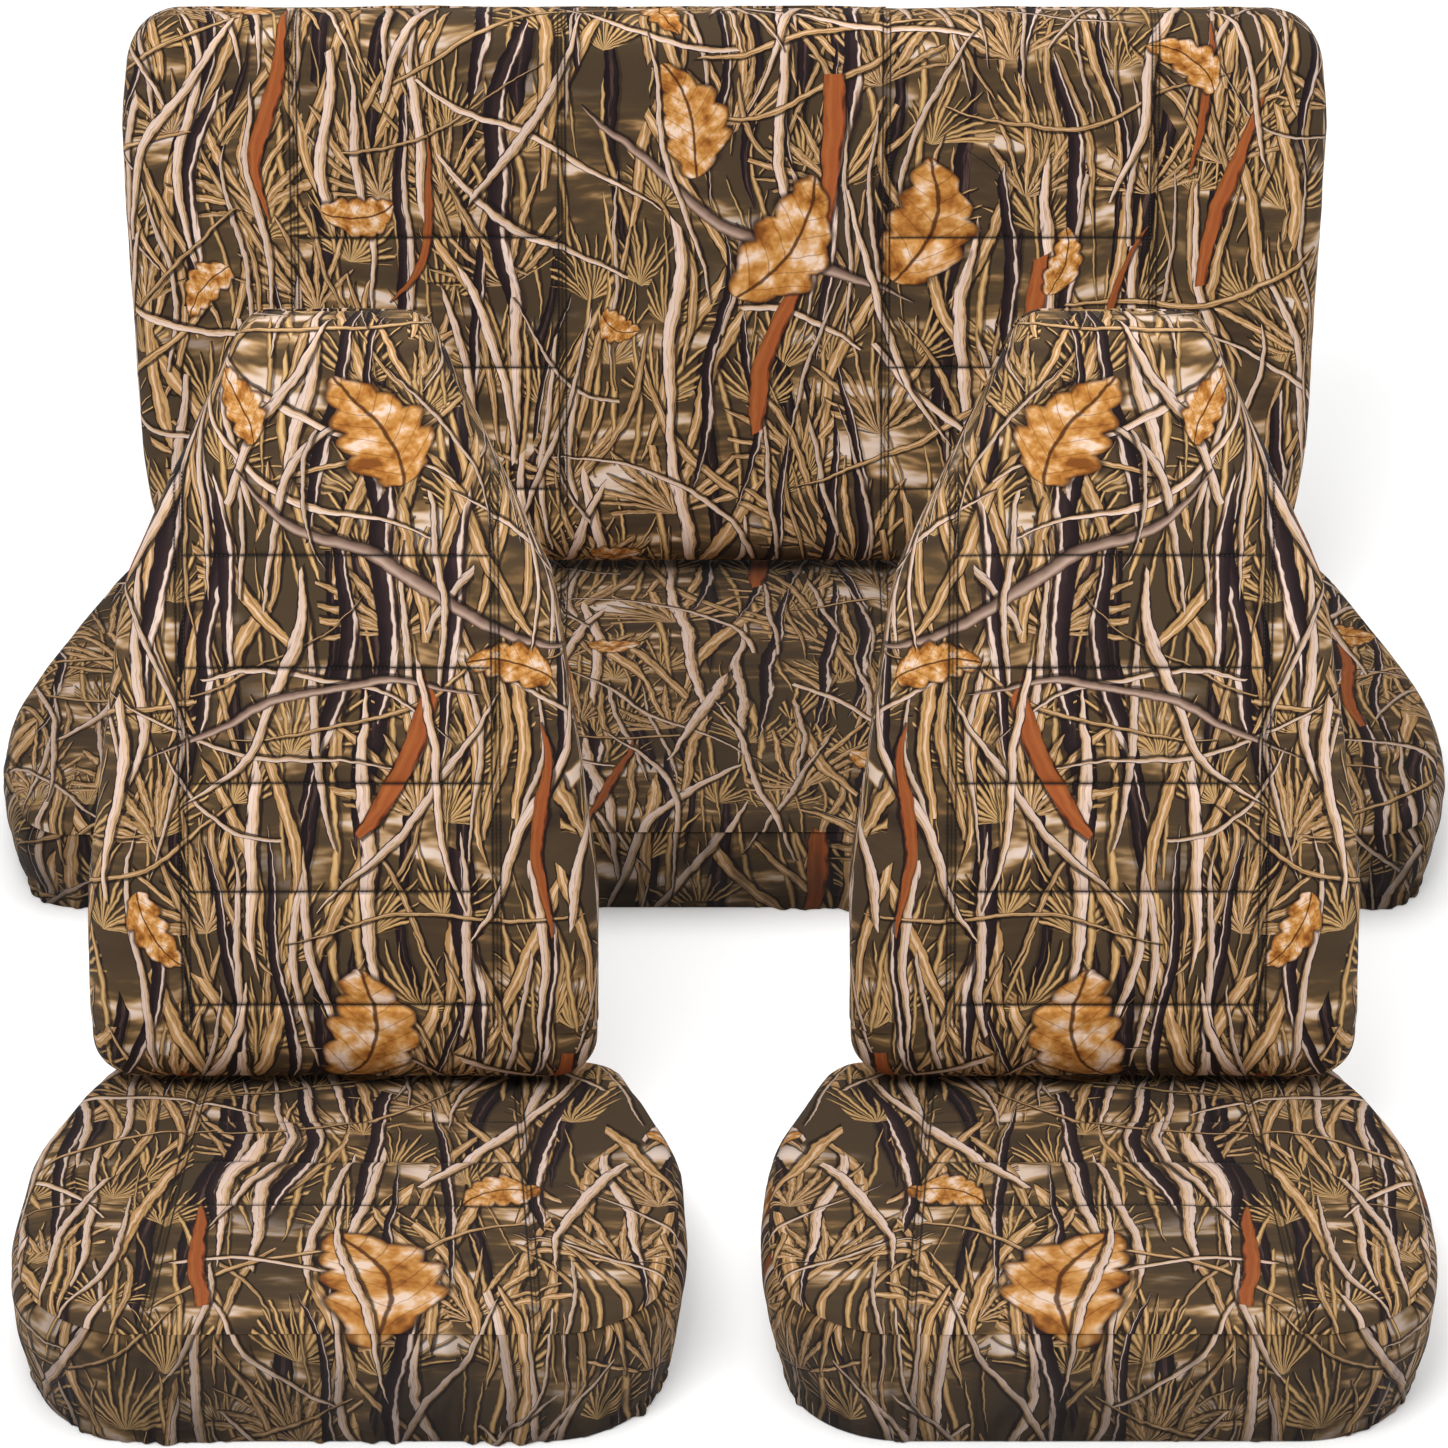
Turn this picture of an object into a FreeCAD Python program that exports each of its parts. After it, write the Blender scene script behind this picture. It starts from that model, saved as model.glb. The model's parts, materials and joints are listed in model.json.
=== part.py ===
"""Seat cover set for a truck: two bucket seats and one bench seat.

Every cover is a hollow, foam-backed fabric shell sewn from separate panels.
The covers stand in their fitted shape; the seats that fill them are left out.
Millimetres, +Y runs to the rear of the truck, +Z is up.
"""
import FreeCAD
import Part
import math
import os

import Sketcher
from FreeCAD import Placement, Rotation, Vector

os.makedirs("parts", exist_ok=True)
doc = FreeCAD.newDocument("seat_cover_set")

SIZES = [
    ("wall_gauge", 4, "foam-backed fabric, face cloth to lining"),
    ("taper", 9.5, "lean of the skirts, degrees, hem tucked in"),
    ("tilt", 16, "lean of the backs, degrees"),
    ("hem_height", 13, "height of the elastic casing"),
    ("hem_gauge", 8.5, "thickness of the elastic casing"),
    ("tunnel_near", 2.6, "face cloth to elastic tunnel"),
    ("tunnel_far", 6.1, "face cloth to far side of the tunnel"),
    ("elastic_near", 2.9, "face cloth to elastic"),
    ("elastic_far", 5.8, "face cloth to far side of the elastic"),
    ("tab_far", 5.5, "face cloth to inner face of a strap tab"),
    ("seam_drop", 4, "top seam below the chord of the seat top"),
    ("front_offset", 314.5, "middle of a bucket cushion off the centre line"),
    ("front_hem_y", 13, "front hem of the bucket cushion"),
    ("front_rear_y", 461, "rear of the bucket cushion"),
    ("front_half_nose", 256, "half width at the nose, at the hem"),
    ("front_half_belly", 267, "half width at the belly, at the hem"),
    ("front_half_waist", 262, "half width at the waist, at the hem"),
    ("front_half_tail", 209, "half width at the rear, at the hem"),
    ("front_belly_y", 150, "belly of the bucket cushion"),
    ("front_waist_y", 285, "waist of the bucket cushion"),
    ("front_nose_round", 100, "corner radius at the nose"),
    ("front_top_nose", 117, "height of the top chord 60 mm ahead of the nose"),
    ("front_top_rear", 84, "height of the top at the rear"),
    ("front_crown", 18, "rise of the top over its chord"),
    ("front_seam_nose", 164, "half width of the seat insert at the nose"),
    ("front_seam_rear", 130, "half width of the seat insert at the rear"),
    ("front_skirt_y", 96, "side seam of the front skirt"),
    ("bench_hem_y", 840, "front hem of the bench cushion"),
    ("bench_rear_y", 1387, "rear of the bench cushion"),
    ("bench_half_nose", 636, "half width at the nose, at the hem"),
    ("bench_half_belly", 664, "half width at the belly, at the hem"),
    ("bench_half_waist", 658, "half width at the waist, at the hem"),
    ("bench_half_tail", 566, "half width at the rear, at the hem"),
    ("bench_belly_y", 960, "belly of the bench cushion"),
    ("bench_waist_y", 1066, "waist of the bench cushion"),
    ("bench_nose_round", 45, "corner radius at the nose"),
    ("bench_top_nose", 86, "height of the top chord 60 mm ahead of the nose"),
    ("bench_top_rear", 70, "height of the top at the rear"),
    ("bench_crown", 14, "rise of the top over its chord"),
    ("bench_skirt_y", 905, "side seam of the front skirt"),
    ("bench_seam_inner", 155, "half width of the middle panel"),
    ("bench_seam_outer", 411, "outer edge of the side inserts"),
    ("back_offset", 327.7, "middle of a bucket back off the centre line"),
    ("back_pivot_y", 421, "recliner axis of the bucket back"),
    ("back_pivot_z", 155, "recliner axis of the bucket back"),
    ("back_half_depth", 51, "half the depth of every back"),
    ("back_half_low", 218, "half width low down"),
    ("back_half_chest", 219, "half width at the chest"),
    ("back_half_shoulder", 183, "half width at the shoulder"),
    ("back_half_head", 76, "half width at the head"),
    ("back_chest_z", 124, "chest above the recliner axis"),
    ("back_shoulder_z", 390, "shoulder above the recliner axis"),
    ("back_head_z", 620, "top of the head above the recliner axis"),
    ("back_seam", 133.5, "half width of the back insert"),
    ("back_tail_half", 196, "half width of the tuck tail"),
    ("rest_pivot_y", 1347, "fold axis of the bench back"),
    ("rest_pivot_z", 140, "fold axis of the bench back"),
    ("rest_half_low", 549, "half width low down"),
    ("rest_half_chest", 562, "half width at the chest"),
    ("rest_half_shoulder", 577, "half width at the shoulder"),
    ("rest_half_head", 566, "half width at the top"),
    ("rest_chest_z", 60, "chest above the fold axis"),
    ("rest_shoulder_z", 380, "shoulder above the fold axis"),
    ("rest_head_z", 488, "top above the fold axis"),
    ("rest_tail_half", 536, "half width of the tuck tail"),
    ("panel_split", 20, "seam between side panels and rear panel"),
    ("tape_gauge", 1.5, "thickness of one closure tape"),
    ("tape_gap", 0.3, "gap between the closed tapes"),
    ("flap_gauge", 4, "thickness of the closure flap"),
    ("flap_setback", 12, "flap and rear hem shorter than the tail, each end"),
    ("hem_fold", 7.3, "depth of the folded rear hem"),
    ("strap_width", 25, "webbing width"),
    ("strap_gauge", 1.5, "webbing thickness"),
    ("strap_z", 20, "underside of the webbing"),
    ("front_strap_x", 110, "webbing off the middle of a bucket cushion"),
    ("bench_strap_x", 380, "webbing off the middle of the bench"),
    ("front_buckle_y", 190, "mouth of the bucket cushion buckles"),
    ("bench_buckle_y", 1080, "mouth of the bench buckles"),
    ("set_middle", 0, "middle of the set, front to rear"),
]

sheet = doc.addObject("Spreadsheet::Sheet", "Sizes")
for row, (alias, value, note) in enumerate(SIZES, 1):
    sheet.set(f"A{row}", alias)
    sheet.set(f"B{row}", str(value))
    sheet.set(f"C{row}", note)
    sheet.setAlias(f"B{row}", alias)
doc.recompute()

PARTS = []
ACROSS = Rotation(Vector(1, 1, 1), 120)


def size(formula):
    """Number that a formula on the sheet gives."""
    return float(sheet.evalExpression(formula))


def bind(item, **formulas):
    """Bind properties to formulas; double underscores stand for dots."""
    for key, formula in formulas.items():
        item.setExpression(key.replace("__", "."), formula)
    return item


def box(name, x, y, z):
    """Box between pairs of formulas along each axis."""
    item = doc.addObject("Part::Box", name)
    for axis, length, pair in (("x", "Length", x), ("y", "Width", y), ("z", "Height", z)):
        item.setExpression(length, f"({pair[1]}) - ({pair[0]})")
        item.setExpression(f"Placement.Base.{axis}", pair[0])
    return item


def join(kind, name, base, tool):
    """Two-shape boolean: Cut or Common."""
    item = doc.addObject(f"Part::{kind}", name)
    item.Base = base
    item.Tool = tool
    return item


def fuse(name, items):
    """Union of several touching shapes."""
    item = doc.addObject("Part::MultiFuse", name)
    item.Shapes = items
    return item


def group(name, items):
    """Several loose shapes kept as one sub-part."""
    item = doc.addObject("Part::Compound", name)
    item.Links = items
    return item


def keep(name, item, x="0", y="0", z="0", tilt=None):
    """Label a finished sub-part and put it in its place in the set."""
    item.Label = name
    if tilt:
        item.Placement = Placement(Vector(), Rotation(Vector(1, 0, 0), -size(tilt)))
        item.setExpression("Placement.Rotation.Angle", f"-{tilt}")
    bind(item, Placement__Base__x=x, Placement__Base__y=f"{y} - Sizes.set_middle", Placement__Base__z=z)
    PARTS.append(item)
    return item


def origin_plane(body, role):
    """Origin plane of a body, by its role."""
    return [item for item in body.Origin.OriginFeatures if item.Role == role][0]


def outline(body, name, role, corners):
    """Closed outline through corners; each one a pair of formulas."""
    sketch = body.newObject("Sketcher::SketchObject", name)
    sketch.AttachmentSupport = [(origin_plane(body, role), "")]
    sketch.MapMode = "FlatFace"
    spots = [Vector(size(u), size(v), 0) for u, v in corners]
    count = len(spots)
    for i in range(count):
        sketch.addGeometry(Part.LineSegment(spots[i], spots[(i + 1) % count]))
    for i in range(count):
        sketch.addConstraint(Sketcher.Constraint("Coincident", i, 2, (i + 1) % count, 1))
    for i, (u, v) in enumerate(corners):
        for kind, formula, value in (("DistanceX", u, spots[i].x), ("DistanceY", v, spots[i].y)):
            index = sketch.addConstraint(Sketcher.Constraint(kind, -1, 1, i, 1, value))
            sketch.renameConstraint(index, f"{kind}_{i}")
            sketch.setExpression(f"Constraints.{kind}_{i}", formula)
    doc.recompute()
    return sketch


def mirrored(half):
    """Outline corners from the +X half, taken round from the left."""
    return [(f"-({u})", v) for u, v in half] + [(u, v) for u, v in reversed(half)]


def soften(body, name, feature, radius, chosen):
    """Fillet on the edges that a test picks."""
    item = body.newObject("PartDesign::Fillet", name)
    edges = feature.Shape.Edges
    item.Base = (feature, [f"Edge{i + 1}" for i, edge in enumerate(edges) if chosen(edge)])
    item.setExpression("Radius", radius)
    doc.recompute()
    return item


def ends(edge):
    """First and last corner of an edge."""
    return edge.Vertexes[0].Point, edge.Vertexes[-1].Point


def cushion_block(name, kind, inset):
    """Solid under the face cloth of a cushion, drawn in by an inset."""
    body = doc.addObject("PartDesign::Body", name)
    half = [
        (f"Sizes.{kind}_half_tail - {inset}", f"Sizes.{kind}_rear_y + 20"),
        (f"Sizes.{kind}_half_waist - {inset}", f"Sizes.{kind}_waist_y"),
        (f"Sizes.{kind}_half_belly - {inset}", f"Sizes.{kind}_belly_y"),
        (f"Sizes.{kind}_half_nose - {inset}", f"Sizes.{kind}_hem_y + {inset}"),
    ]
    plan = outline(body, f"{name}_plan", "XY_Plane", mirrored(half))
    pad = body.newObject("PartDesign::Pad", f"{name}_pad")
    pad.Profile = plan
    pad.Length = 160
    pad.setExpression("TaperAngle", "Sizes.taper")
    doc.recompute()

    def upright(low, high):
        """Test for a standing edge whose nearer end lies between two depths."""
        def test(edge):
            first, last = ends(edge)
            return abs(first.z - last.z) > 100 and low < min(first.y, last.y) < high
        return test

    nose, belly = size(f"Sizes.{kind}_hem_y"), size(f"Sizes.{kind}_belly_y")
    waist, rear = size(f"Sizes.{kind}_waist_y"), size(f"Sizes.{kind}_rear_y - {inset}")
    step = soften(body, f"{name}_nose", pad, f"Sizes.{kind}_nose_round - {inset}", upright(nose - 60, nose + 20))
    step = soften(body, f"{name}_belly", step, "300", upright(belly - 15, belly + 15))
    step = soften(body, f"{name}_waist", step, "300", upright(waist - 15, waist + 15))

    side = body.newObject("Sketcher::SketchObject", f"{name}_side")
    side.AttachmentSupport = [(origin_plane(body, "YZ_Plane"), "")]
    side.MapMode = "FlatFace"
    start = Vector(nose - 60, size(f"Sizes.{kind}_top_nose - {inset}"), 0)
    stop = Vector(rear, size(f"Sizes.{kind}_top_rear - {inset}"), 0)
    middle = (start + stop) * 0.5 + Vector(0, size(f"Sizes.{kind}_crown"), 0)
    low, out, high = Vector(rear, -10, 0), Vector(rear + 120, -10, 0), Vector(rear + 120, 220, 0)
    side.addGeometry(Part.Arc(start, middle, stop))
    for first, last in ((stop, low), (low, out), (out, high), (high, Vector(start.x, 220, 0)),
                        (Vector(start.x, 220, 0), start)):
        side.addGeometry(Part.LineSegment(first, last))
    doc.recompute()
    pocket = body.newObject("PartDesign::Pocket", f"{name}_cut")
    pocket.Profile = side
    pocket.Type = "ThroughAll"
    pocket.Midplane = True
    doc.recompute()

    def rear_edge(edge):
        """Standing edge on the rear plane."""
        first, last = ends(edge)
        return abs(first.y - rear) < 0.01 and abs(last.y - rear) < 0.01 and abs(first.z - last.z) > 40

    step = soften(body, f"{name}_rear", pocket, f"30 - {inset}", rear_edge)
    floor = min(stop.y, start.y) - 8
    return soften(body, f"{name}_top", step, f"20 - {inset}", lambda edge: min(p.z for p in ends(edge)) > floor)


def seat_block(name, kind, inset):
    """Body that holds a cushion block."""
    cushion_block(name, kind, inset)
    return doc.getObject(name)


def back_shell(name, kind, round_chest, round_shoulder, round_head):
    """Hollow back, open below, pivot at the origin."""
    body = doc.addObject("PartDesign::Body", name)
    half = [
        (f"Sizes.{kind}_half_low", "0"),
        (f"Sizes.{kind}_half_chest", f"Sizes.{kind}_chest_z"),
        (f"Sizes.{kind}_half_shoulder", f"Sizes.{kind}_shoulder_z"),
        (f"Sizes.{kind}_half_head", f"Sizes.{kind}_head_z"),
    ]
    face = outline(body, f"{name}_face", "XZ_Plane", mirrored(half))
    pad = body.newObject("PartDesign::Pad", f"{name}_pad")
    pad.Profile = face
    pad.setExpression("Length", "2 * Sizes.back_half_depth")
    pad.Midplane = True
    doc.recompute()

    def level(formula):
        """Test for a front-to-rear edge at one height."""
        height = size(formula)

        def test(edge):
            first, last = ends(edge)
            return abs(first.y - last.y) > 50 and abs(first.z - height) < 1 and abs(last.z - height) < 1
        return test

    depth = size("Sizes.back_half_depth")
    step = soften(body, f"{name}_chest", pad, round_chest, level(f"Sizes.{kind}_chest_z"))
    step = soften(body, f"{name}_shoulder", step, round_shoulder, level(f"Sizes.{kind}_shoulder_z"))
    step = soften(body, f"{name}_head", step, round_head, level(f"Sizes.{kind}_head_z"))
    for word, place, radius in (("fore", -depth, "36"), ("aft", depth, "32")):
        def rim(edge, place=place):
            """Edge of the front or rear face, the mouth left out."""
            first, last = ends(edge)
            flat = abs(first.y - place) < 0.01 and abs(last.y - place) < 0.01
            return flat and max(first.z, last.z) > 1
        step = soften(body, f"{name}_{word}", step, radius, rim)
    hollow = body.newObject("PartDesign::Thickness", f"{name}_hollow")
    mouth = [f"Face{i + 1}" for i, item in enumerate(step.Shape.Faces) if abs(item.CenterOfMass.z) < 0.01]
    hollow.Base = (step, mouth)
    hollow.setExpression("Value", "Sizes.wall_gauge")
    hollow.Reversed = True
    doc.recompute()
    return body


def sector(name, outer, inner, half, start, sweep):
    """Part of a tube about the X axis; angles run from +Y toward +Z."""
    drums = []
    for word, radius in (("out", outer), ("in", inner)):
        drum = doc.addObject("Part::Cylinder", f"{name}_{word}")
        bind(drum, Radius=radius, Height=f"2 * ({half})")
        drum.Angle = sweep if word == "out" else 360
        drum.Placement = Placement(Vector(), ACROSS * Rotation(Vector(0, 0, 1), start))
        drum.setExpression("Placement.Base.x", f"-({half})")
        drums.append(drum)
    return join("Cut", name, drums[0], drums[1])


def cushion_tools(tag, kind):
    """Shells, rings and cutting boxes shared by the panels of one cushion."""
    outer = seat_block(f"{tag}_outer", kind, "0")
    inner = seat_block(f"{tag}_inner", kind, "Sizes.wall_gauge")
    shell = join("Cut", f"{tag}_shell", outer, inner)
    half = f"Sizes.{kind}_half_belly + 60"
    above = doc.addObject("Part::Box", f"{tag}_above")
    bind(above, Length=f"2 * ({half})", Width="900", Height="200", Placement__Base__x=f"-({half})")
    drop, nose = f"Sizes.{kind}_top_nose - Sizes.seam_drop", f"Sizes.{kind}_hem_y - 60"
    slope = math.degrees(math.atan2(size(f"Sizes.{kind}_top_nose - Sizes.{kind}_top_rear"),
                                    size(f"Sizes.{kind}_rear_y - {nose}")))
    above.Placement = Placement(Vector(), Rotation(Vector(1, 0, 0), -slope))
    bind(above, Placement__Base__x=f"-({half})", Placement__Base__y=nose, Placement__Base__z=drop)
    top = join("Common", f"{tag}_top", shell, above)
    wall = join("Cut", f"{tag}_wall", shell, above)
    casing = seat_block(f"{tag}_casing", kind, "Sizes.hem_gauge")
    near = seat_block(f"{tag}_near", kind, "Sizes.tunnel_near")
    far = seat_block(f"{tag}_far", kind, "Sizes.tunnel_far")
    wide = (f"-({half})", half)
    deep = (f"Sizes.{kind}_hem_y - 60", f"Sizes.{kind}_rear_y + 60")
    low = box(f"{tag}_low", wide, deep, ("0", "Sizes.hem_height"))
    fold = join("Cut", f"{tag}_fold", outer, casing)
    hem = join("Common", f"{tag}_hem", fold, low)
    skirt = fuse(f"{tag}_skirt", [wall, hem])
    ring = join("Cut", f"{tag}_ring", near, far)
    slot = box(f"{tag}_slot", wide, deep, ("3", "Sizes.hem_height - 3"))
    tunnel = join("Common", f"{tag}_tunnel", ring, slot)
    skirt = join("Cut", f"{tag}_open_skirt", skirt, tunnel)
    return outer, inner, top, skirt, wide, deep


def cushion_low_parts(tag, kind, inner, skirt, wide, deep, place, straps):
    """Skirt panels, hem elastic, webbing and buckles of one cushion."""
    split = f"Sizes.{kind}_skirt_y"
    tall = ("-1", "200")
    fore = box(f"{tag}_fore", wide, (deep[0], split), tall)
    keep(f"{tag}_skirt_front", join("Common", f"{tag}_skirt_a", skirt, fore), **place)
    keep(f"{tag}_skirt_wrap", join("Cut", f"{tag}_skirt_b", skirt, fore), **place)
    near = seat_block(f"{tag}_elastic_near", kind, "Sizes.elastic_near")
    far = seat_block(f"{tag}_elastic_far", kind, "Sizes.elastic_far")
    ring = join("Cut", f"{tag}_elastic_ring", near, far)
    slot = box(f"{tag}_elastic_slot", wide, deep, ("3.4", "Sizes.hem_height - 3.4"))
    keep(f"{tag}_hem_elastic", join("Common", f"{tag}_elastic", ring, slot), **place)

    tab_far = seat_block(f"{tag}_tab_far", kind, "Sizes.tab_far")
    tab_ring = join("Cut", f"{tag}_tab_ring", inner, tab_far)
    mouth = f"Sizes.{kind}_buckle_y"
    webbing, females, males = [], [], []
    for spot, middle in enumerate(straps, 1):
        name = f"{tag}_strap_{spot}"

        def across(half, middle=middle):
            """Span across the strap."""
            return f"{middle} - ({half})", f"{middle} + ({half})"

        def between(first, last):
            """Span along the strap, measured from the buckle mouth."""
            return f"{mouth} + ({first})", f"{mouth} + ({last})"

        cloth = across("Sizes.strap_width / 2")
        level = ("Sizes.strap_z", "Sizes.strap_z + Sizes.strap_gauge")
        tabs = join("Common", f"{name}_tabs", tab_ring, box(f"{name}_tab_box", cloth, deep, ("16", "46")))
        lead = box(f"{name}_lead", cloth, (deep[0], f"{mouth} - 37.5"), level)
        tail = box(f"{name}_tail", cloth, (f"{mouth} + 3", deep[1]), level)
        lead = join("Common", f"{name}_lead_cut", lead, inner)
        tail = join("Common", f"{name}_tail_cut", tail, inner)
        loop = box(f"{name}_loop", cloth, between("-37.5", "-31"), ("Sizes.strap_z - 2.5", "Sizes.strap_z + 4"))
        bar_y, bar_z = between("-36", "-32.5"), ("Sizes.strap_z - 1", "Sizes.strap_z + 2.5")
        eye = box(f"{name}_eye", across("20"), bar_y, bar_z)
        loop = join("Cut", f"{name}_loop_open", loop, eye)
        webbing.append(fuse(f"{name}_webbing", [tabs, lead, tail, loop]))

        shell = box(f"{name}_female", across("16.5"), between("-36", "0"),
                    ("Sizes.strap_z - 3.5", "Sizes.strap_z + 8.5"))
        window = box(f"{name}_window", across("13.5"), between("-40", "-26"), ("0", "40"))
        cavity = box(f"{name}_cavity", across("13.5"), between("-23", "1"),
                     ("Sizes.strap_z + 1.9", "Sizes.strap_z + 6.3"))
        shell = join("Cut", f"{name}_female_a", shell, window)
        shell = join("Cut", f"{name}_female_b", shell, cavity)
        bar = box(f"{name}_bar", across("16.5"), bar_y, bar_z)
        females.append(fuse(f"{name}_female_c", [shell, bar]))

        plate = box(f"{name}_plate", across("16.5"), between("0.5", "22"),
                    ("Sizes.strap_z - 3.5", "Sizes.strap_z + 7"))
        channel = box(f"{name}_channel", across("Sizes.strap_width / 2 + 0.3"), between("-1", "24"),
                      ("Sizes.strap_z - 0.3", "Sizes.strap_z + Sizes.strap_gauge + 0.3"))
        plate = join("Cut", f"{name}_plate_open", plate, channel)
        prongs = [plate]
        for side, first, last in (("a", "-13.2", "-8.2"), ("b", "8.2", "13.2"), ("c", "-2.5", "2.5")):
            span = (f"{middle} + {first}", f"{middle} + {last}")
            prongs.append(box(f"{name}_prong_{side}", span, between("-22", "1"),
                              ("Sizes.strap_z + 2.2", "Sizes.strap_z + 6")))
        males.append(fuse(f"{name}_male", prongs))
    keep(f"{tag}_strap_webbing", group(f"{tag}_webbing", webbing), **place)
    keep(f"{tag}_buckle_females", group(f"{tag}_females", females), **place)
    for spot, male in enumerate(males, 1):
        keep(f"{tag}_buckle_male_{spot}", male, **place)


def back_low_parts(tag, tail_half, place):
    """Tuck tail, closure flap and closure tapes below a back."""
    depth, tape = "Sizes.back_half_depth", "Sizes.tape_gauge"
    hook_in = f"{depth} + {tape} + Sizes.tape_gap"
    hook_out = f"{hook_in} + {tape}"
    short = f"{tail_half} - Sizes.flap_setback"
    keep(f"{tag}_tuck_tail", sector(f"{tag}_tail", depth, f"{depth} - Sizes.wall_gauge", tail_half, 180, 165),
         **place)
    keep(f"{tag}_loop_tape", sector(f"{tag}_loop", f"{depth} + {tape}", depth, short, -43, 26), **place)
    keep(f"{tag}_hook_tape", sector(f"{tag}_hook", hook_out, hook_in, short, -43, 26), **place)
    keep(f"{tag}_closure_flap",
         sector(f"{tag}_flap", f"{hook_out} + Sizes.flap_gauge", hook_out, short, -45, 43), **place)


def rear_panel(tag, shell, tail_half, place):
    """Rear panel with the folded hem that carries the closure flap."""
    wide, split, depth = ("-700", "700"), "Sizes.panel_split", "Sizes.back_half_depth"
    behind = box(f"{tag}_behind", wide, (split, "200"), ("-1", "900"))
    sheet_part = join("Common", f"{tag}_rear_sheet", shell, behind)
    short = f"{tail_half} - Sizes.flap_setback"
    hem = box(f"{tag}_rear_hem", (f"-({short})", short), (depth, f"{depth} + Sizes.hem_fold"), ("0.5", "14"))
    keep(f"{tag}_rear_panel", fuse(f"{tag}_rear", [sheet_part, hem]), **place)
    return join("Cut", f"{tag}_fore_shell", shell, behind)


for side, sign, hand in (("left", "-", -1), ("right", "", 1)):
    tag = f"front_{side}_cushion"
    place = {"x": f"{sign}Sizes.front_offset"}
    outer, inner, top, skirt, wide, deep = cushion_tools(tag, "front")
    wedge = doc.addObject("Part::Wedge", f"{tag}_wedge")
    reach = f"({deep[1]}) - ({deep[0]})"
    bind(wedge, Xmin="-Sizes.front_seam_nose", Xmax="Sizes.front_seam_nose", X2min="-Sizes.front_seam_rear",
         X2max="Sizes.front_seam_rear", Ymin="0", Ymax=reach, Placement__Base__y=deep[0])
    wedge.Zmin = 0
    wedge.Zmax = 220
    wedge.Z2min = 0
    wedge.Z2max = 220
    keep(f"{tag}_insert", join("Common", f"{tag}_panel", top, wedge), **place)
    flanks = join("Cut", f"{tag}_flanks", top, wedge)
    for word, way in (("outer", hand), ("inner", -hand)):
        span = ("0", wide[1]) if way > 0 else (wide[0], "0")
        half_box = box(f"{tag}_{word}_half", span, deep, ("0", "220"))
        keep(f"{tag}_bolster_{word}", join("Common", f"{tag}_{word}", flanks, half_box), **place)
    cushion_low_parts(tag, "front", inner, skirt, wide, deep, place, ["-Sizes.front_strap_x", "Sizes.front_strap_x"])

    tag = f"front_{side}_back"
    place = {"x": f"{sign}Sizes.back_offset", "y": "Sizes.back_pivot_y", "z": "Sizes.back_pivot_z",
             "tilt": "Sizes.tilt"}
    shell = back_shell(f"{tag}_shell", "back", "300", "140", "40")
    fore = rear_panel(tag, shell, "Sizes.back_tail_half", place)
    middle = box(f"{tag}_middle", ("-Sizes.back_seam", "Sizes.back_seam"), ("-200", "200"), ("-1", "900"))
    keep(f"{tag}_insert", join("Common", f"{tag}_panel", fore, middle), **place)
    flanks = join("Cut", f"{tag}_flanks", fore, middle)
    for word, way in (("outer", hand), ("inner", -hand)):
        span = ("0", "700") if way > 0 else ("-700", "0")
        half_box = box(f"{tag}_{word}_half", span, ("-200", "200"), ("-1", "900"))
        keep(f"{tag}_bolster_{word}", join("Common", f"{tag}_{word}", flanks, half_box), **place)
    back_low_parts(tag, "Sizes.back_tail_half", place)

INNER, OUTER = "Sizes.bench_seam_inner", "Sizes.bench_seam_outer"
BANDS = [
    ("centre", (f"-{INNER}", INNER)),
    ("insert_left", (f"-{OUTER}", f"-{INNER}")),
    ("insert_right", (INNER, OUTER)),
    ("outer_left", ("-760", f"-{OUTER}")),
    ("outer_right", (OUTER, "760")),
]

tag = "bench_cushion"
outer, inner, top, skirt, wide, deep = cushion_tools(tag, "bench")
for word, span in BANDS:
    band = box(f"{tag}_{word}_band", span, deep, ("0", "220"))
    keep(f"{tag}_{word}", join("Common", f"{tag}_{word}_panel", top, band))
cushion_low_parts(tag, "bench", inner, skirt, wide, deep, {}, ["-Sizes.bench_strap_x", "0", "Sizes.bench_strap_x"])

tag = "bench_back"
place = {"y": "Sizes.rest_pivot_y", "z": "Sizes.rest_pivot_z", "tilt": "Sizes.tilt"}
shell = back_shell(f"{tag}_shell", "rest", "200", "300", "50")
fore = rear_panel(tag, shell, "Sizes.rest_tail_half", place)
for word, span in BANDS:
    band = box(f"{tag}_{word}_band", span, ("-200", "200"), ("-1", "900"))
    keep(f"{tag}_{word}", join("Common", f"{tag}_{word}_panel", fore, band), **place)
back_low_parts(tag, "Sizes.rest_tail_half", place)

doc.recompute()
reach = [item.Shape.optimalBoundingBox(False, False) for item in PARTS]
middle = (min(item.YMin for item in reach) + max(item.YMax for item in reach)) / 2
sheet.set(sheet.getCellFromAlias("set_middle"), f"{middle:.3f}")
doc.recompute()

for item in doc.Objects:
    if "Invalid" in item.State or "Error" in item.State:
        raise RuntimeError(f"{item.Label} did not build: {item.State}")
for item in PARTS:
    if item.Shape.isNull() or not item.Shape.isValid() or not item.Shape.Solids:
        raise RuntimeError(f"{item.Label} has no valid solid")
for item in PARTS:
    item.Shape.exportStep(f"parts/{item.Label}.step")
    span = item.Shape.optimalBoundingBox(False, False)
    print(f"{item.Label:36s} solids {len(item.Shape.Solids)} volume {item.Shape.Volume / 1000:9.1f} cm3 "
          f"x {span.XMin:7.1f} {span.XMax:7.1f} y {span.YMin:7.1f} {span.YMax:7.1f} z {span.ZMin:7.1f} {span.ZMax:7.1f}")
print(f"{len(PARTS)} sub-parts, middle {middle:.3f}")
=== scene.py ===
import json
import math

import bmesh
import bpy
import numpy as np
from mathutils.bvhtree import BVHTree
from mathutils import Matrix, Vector, noise


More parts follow.
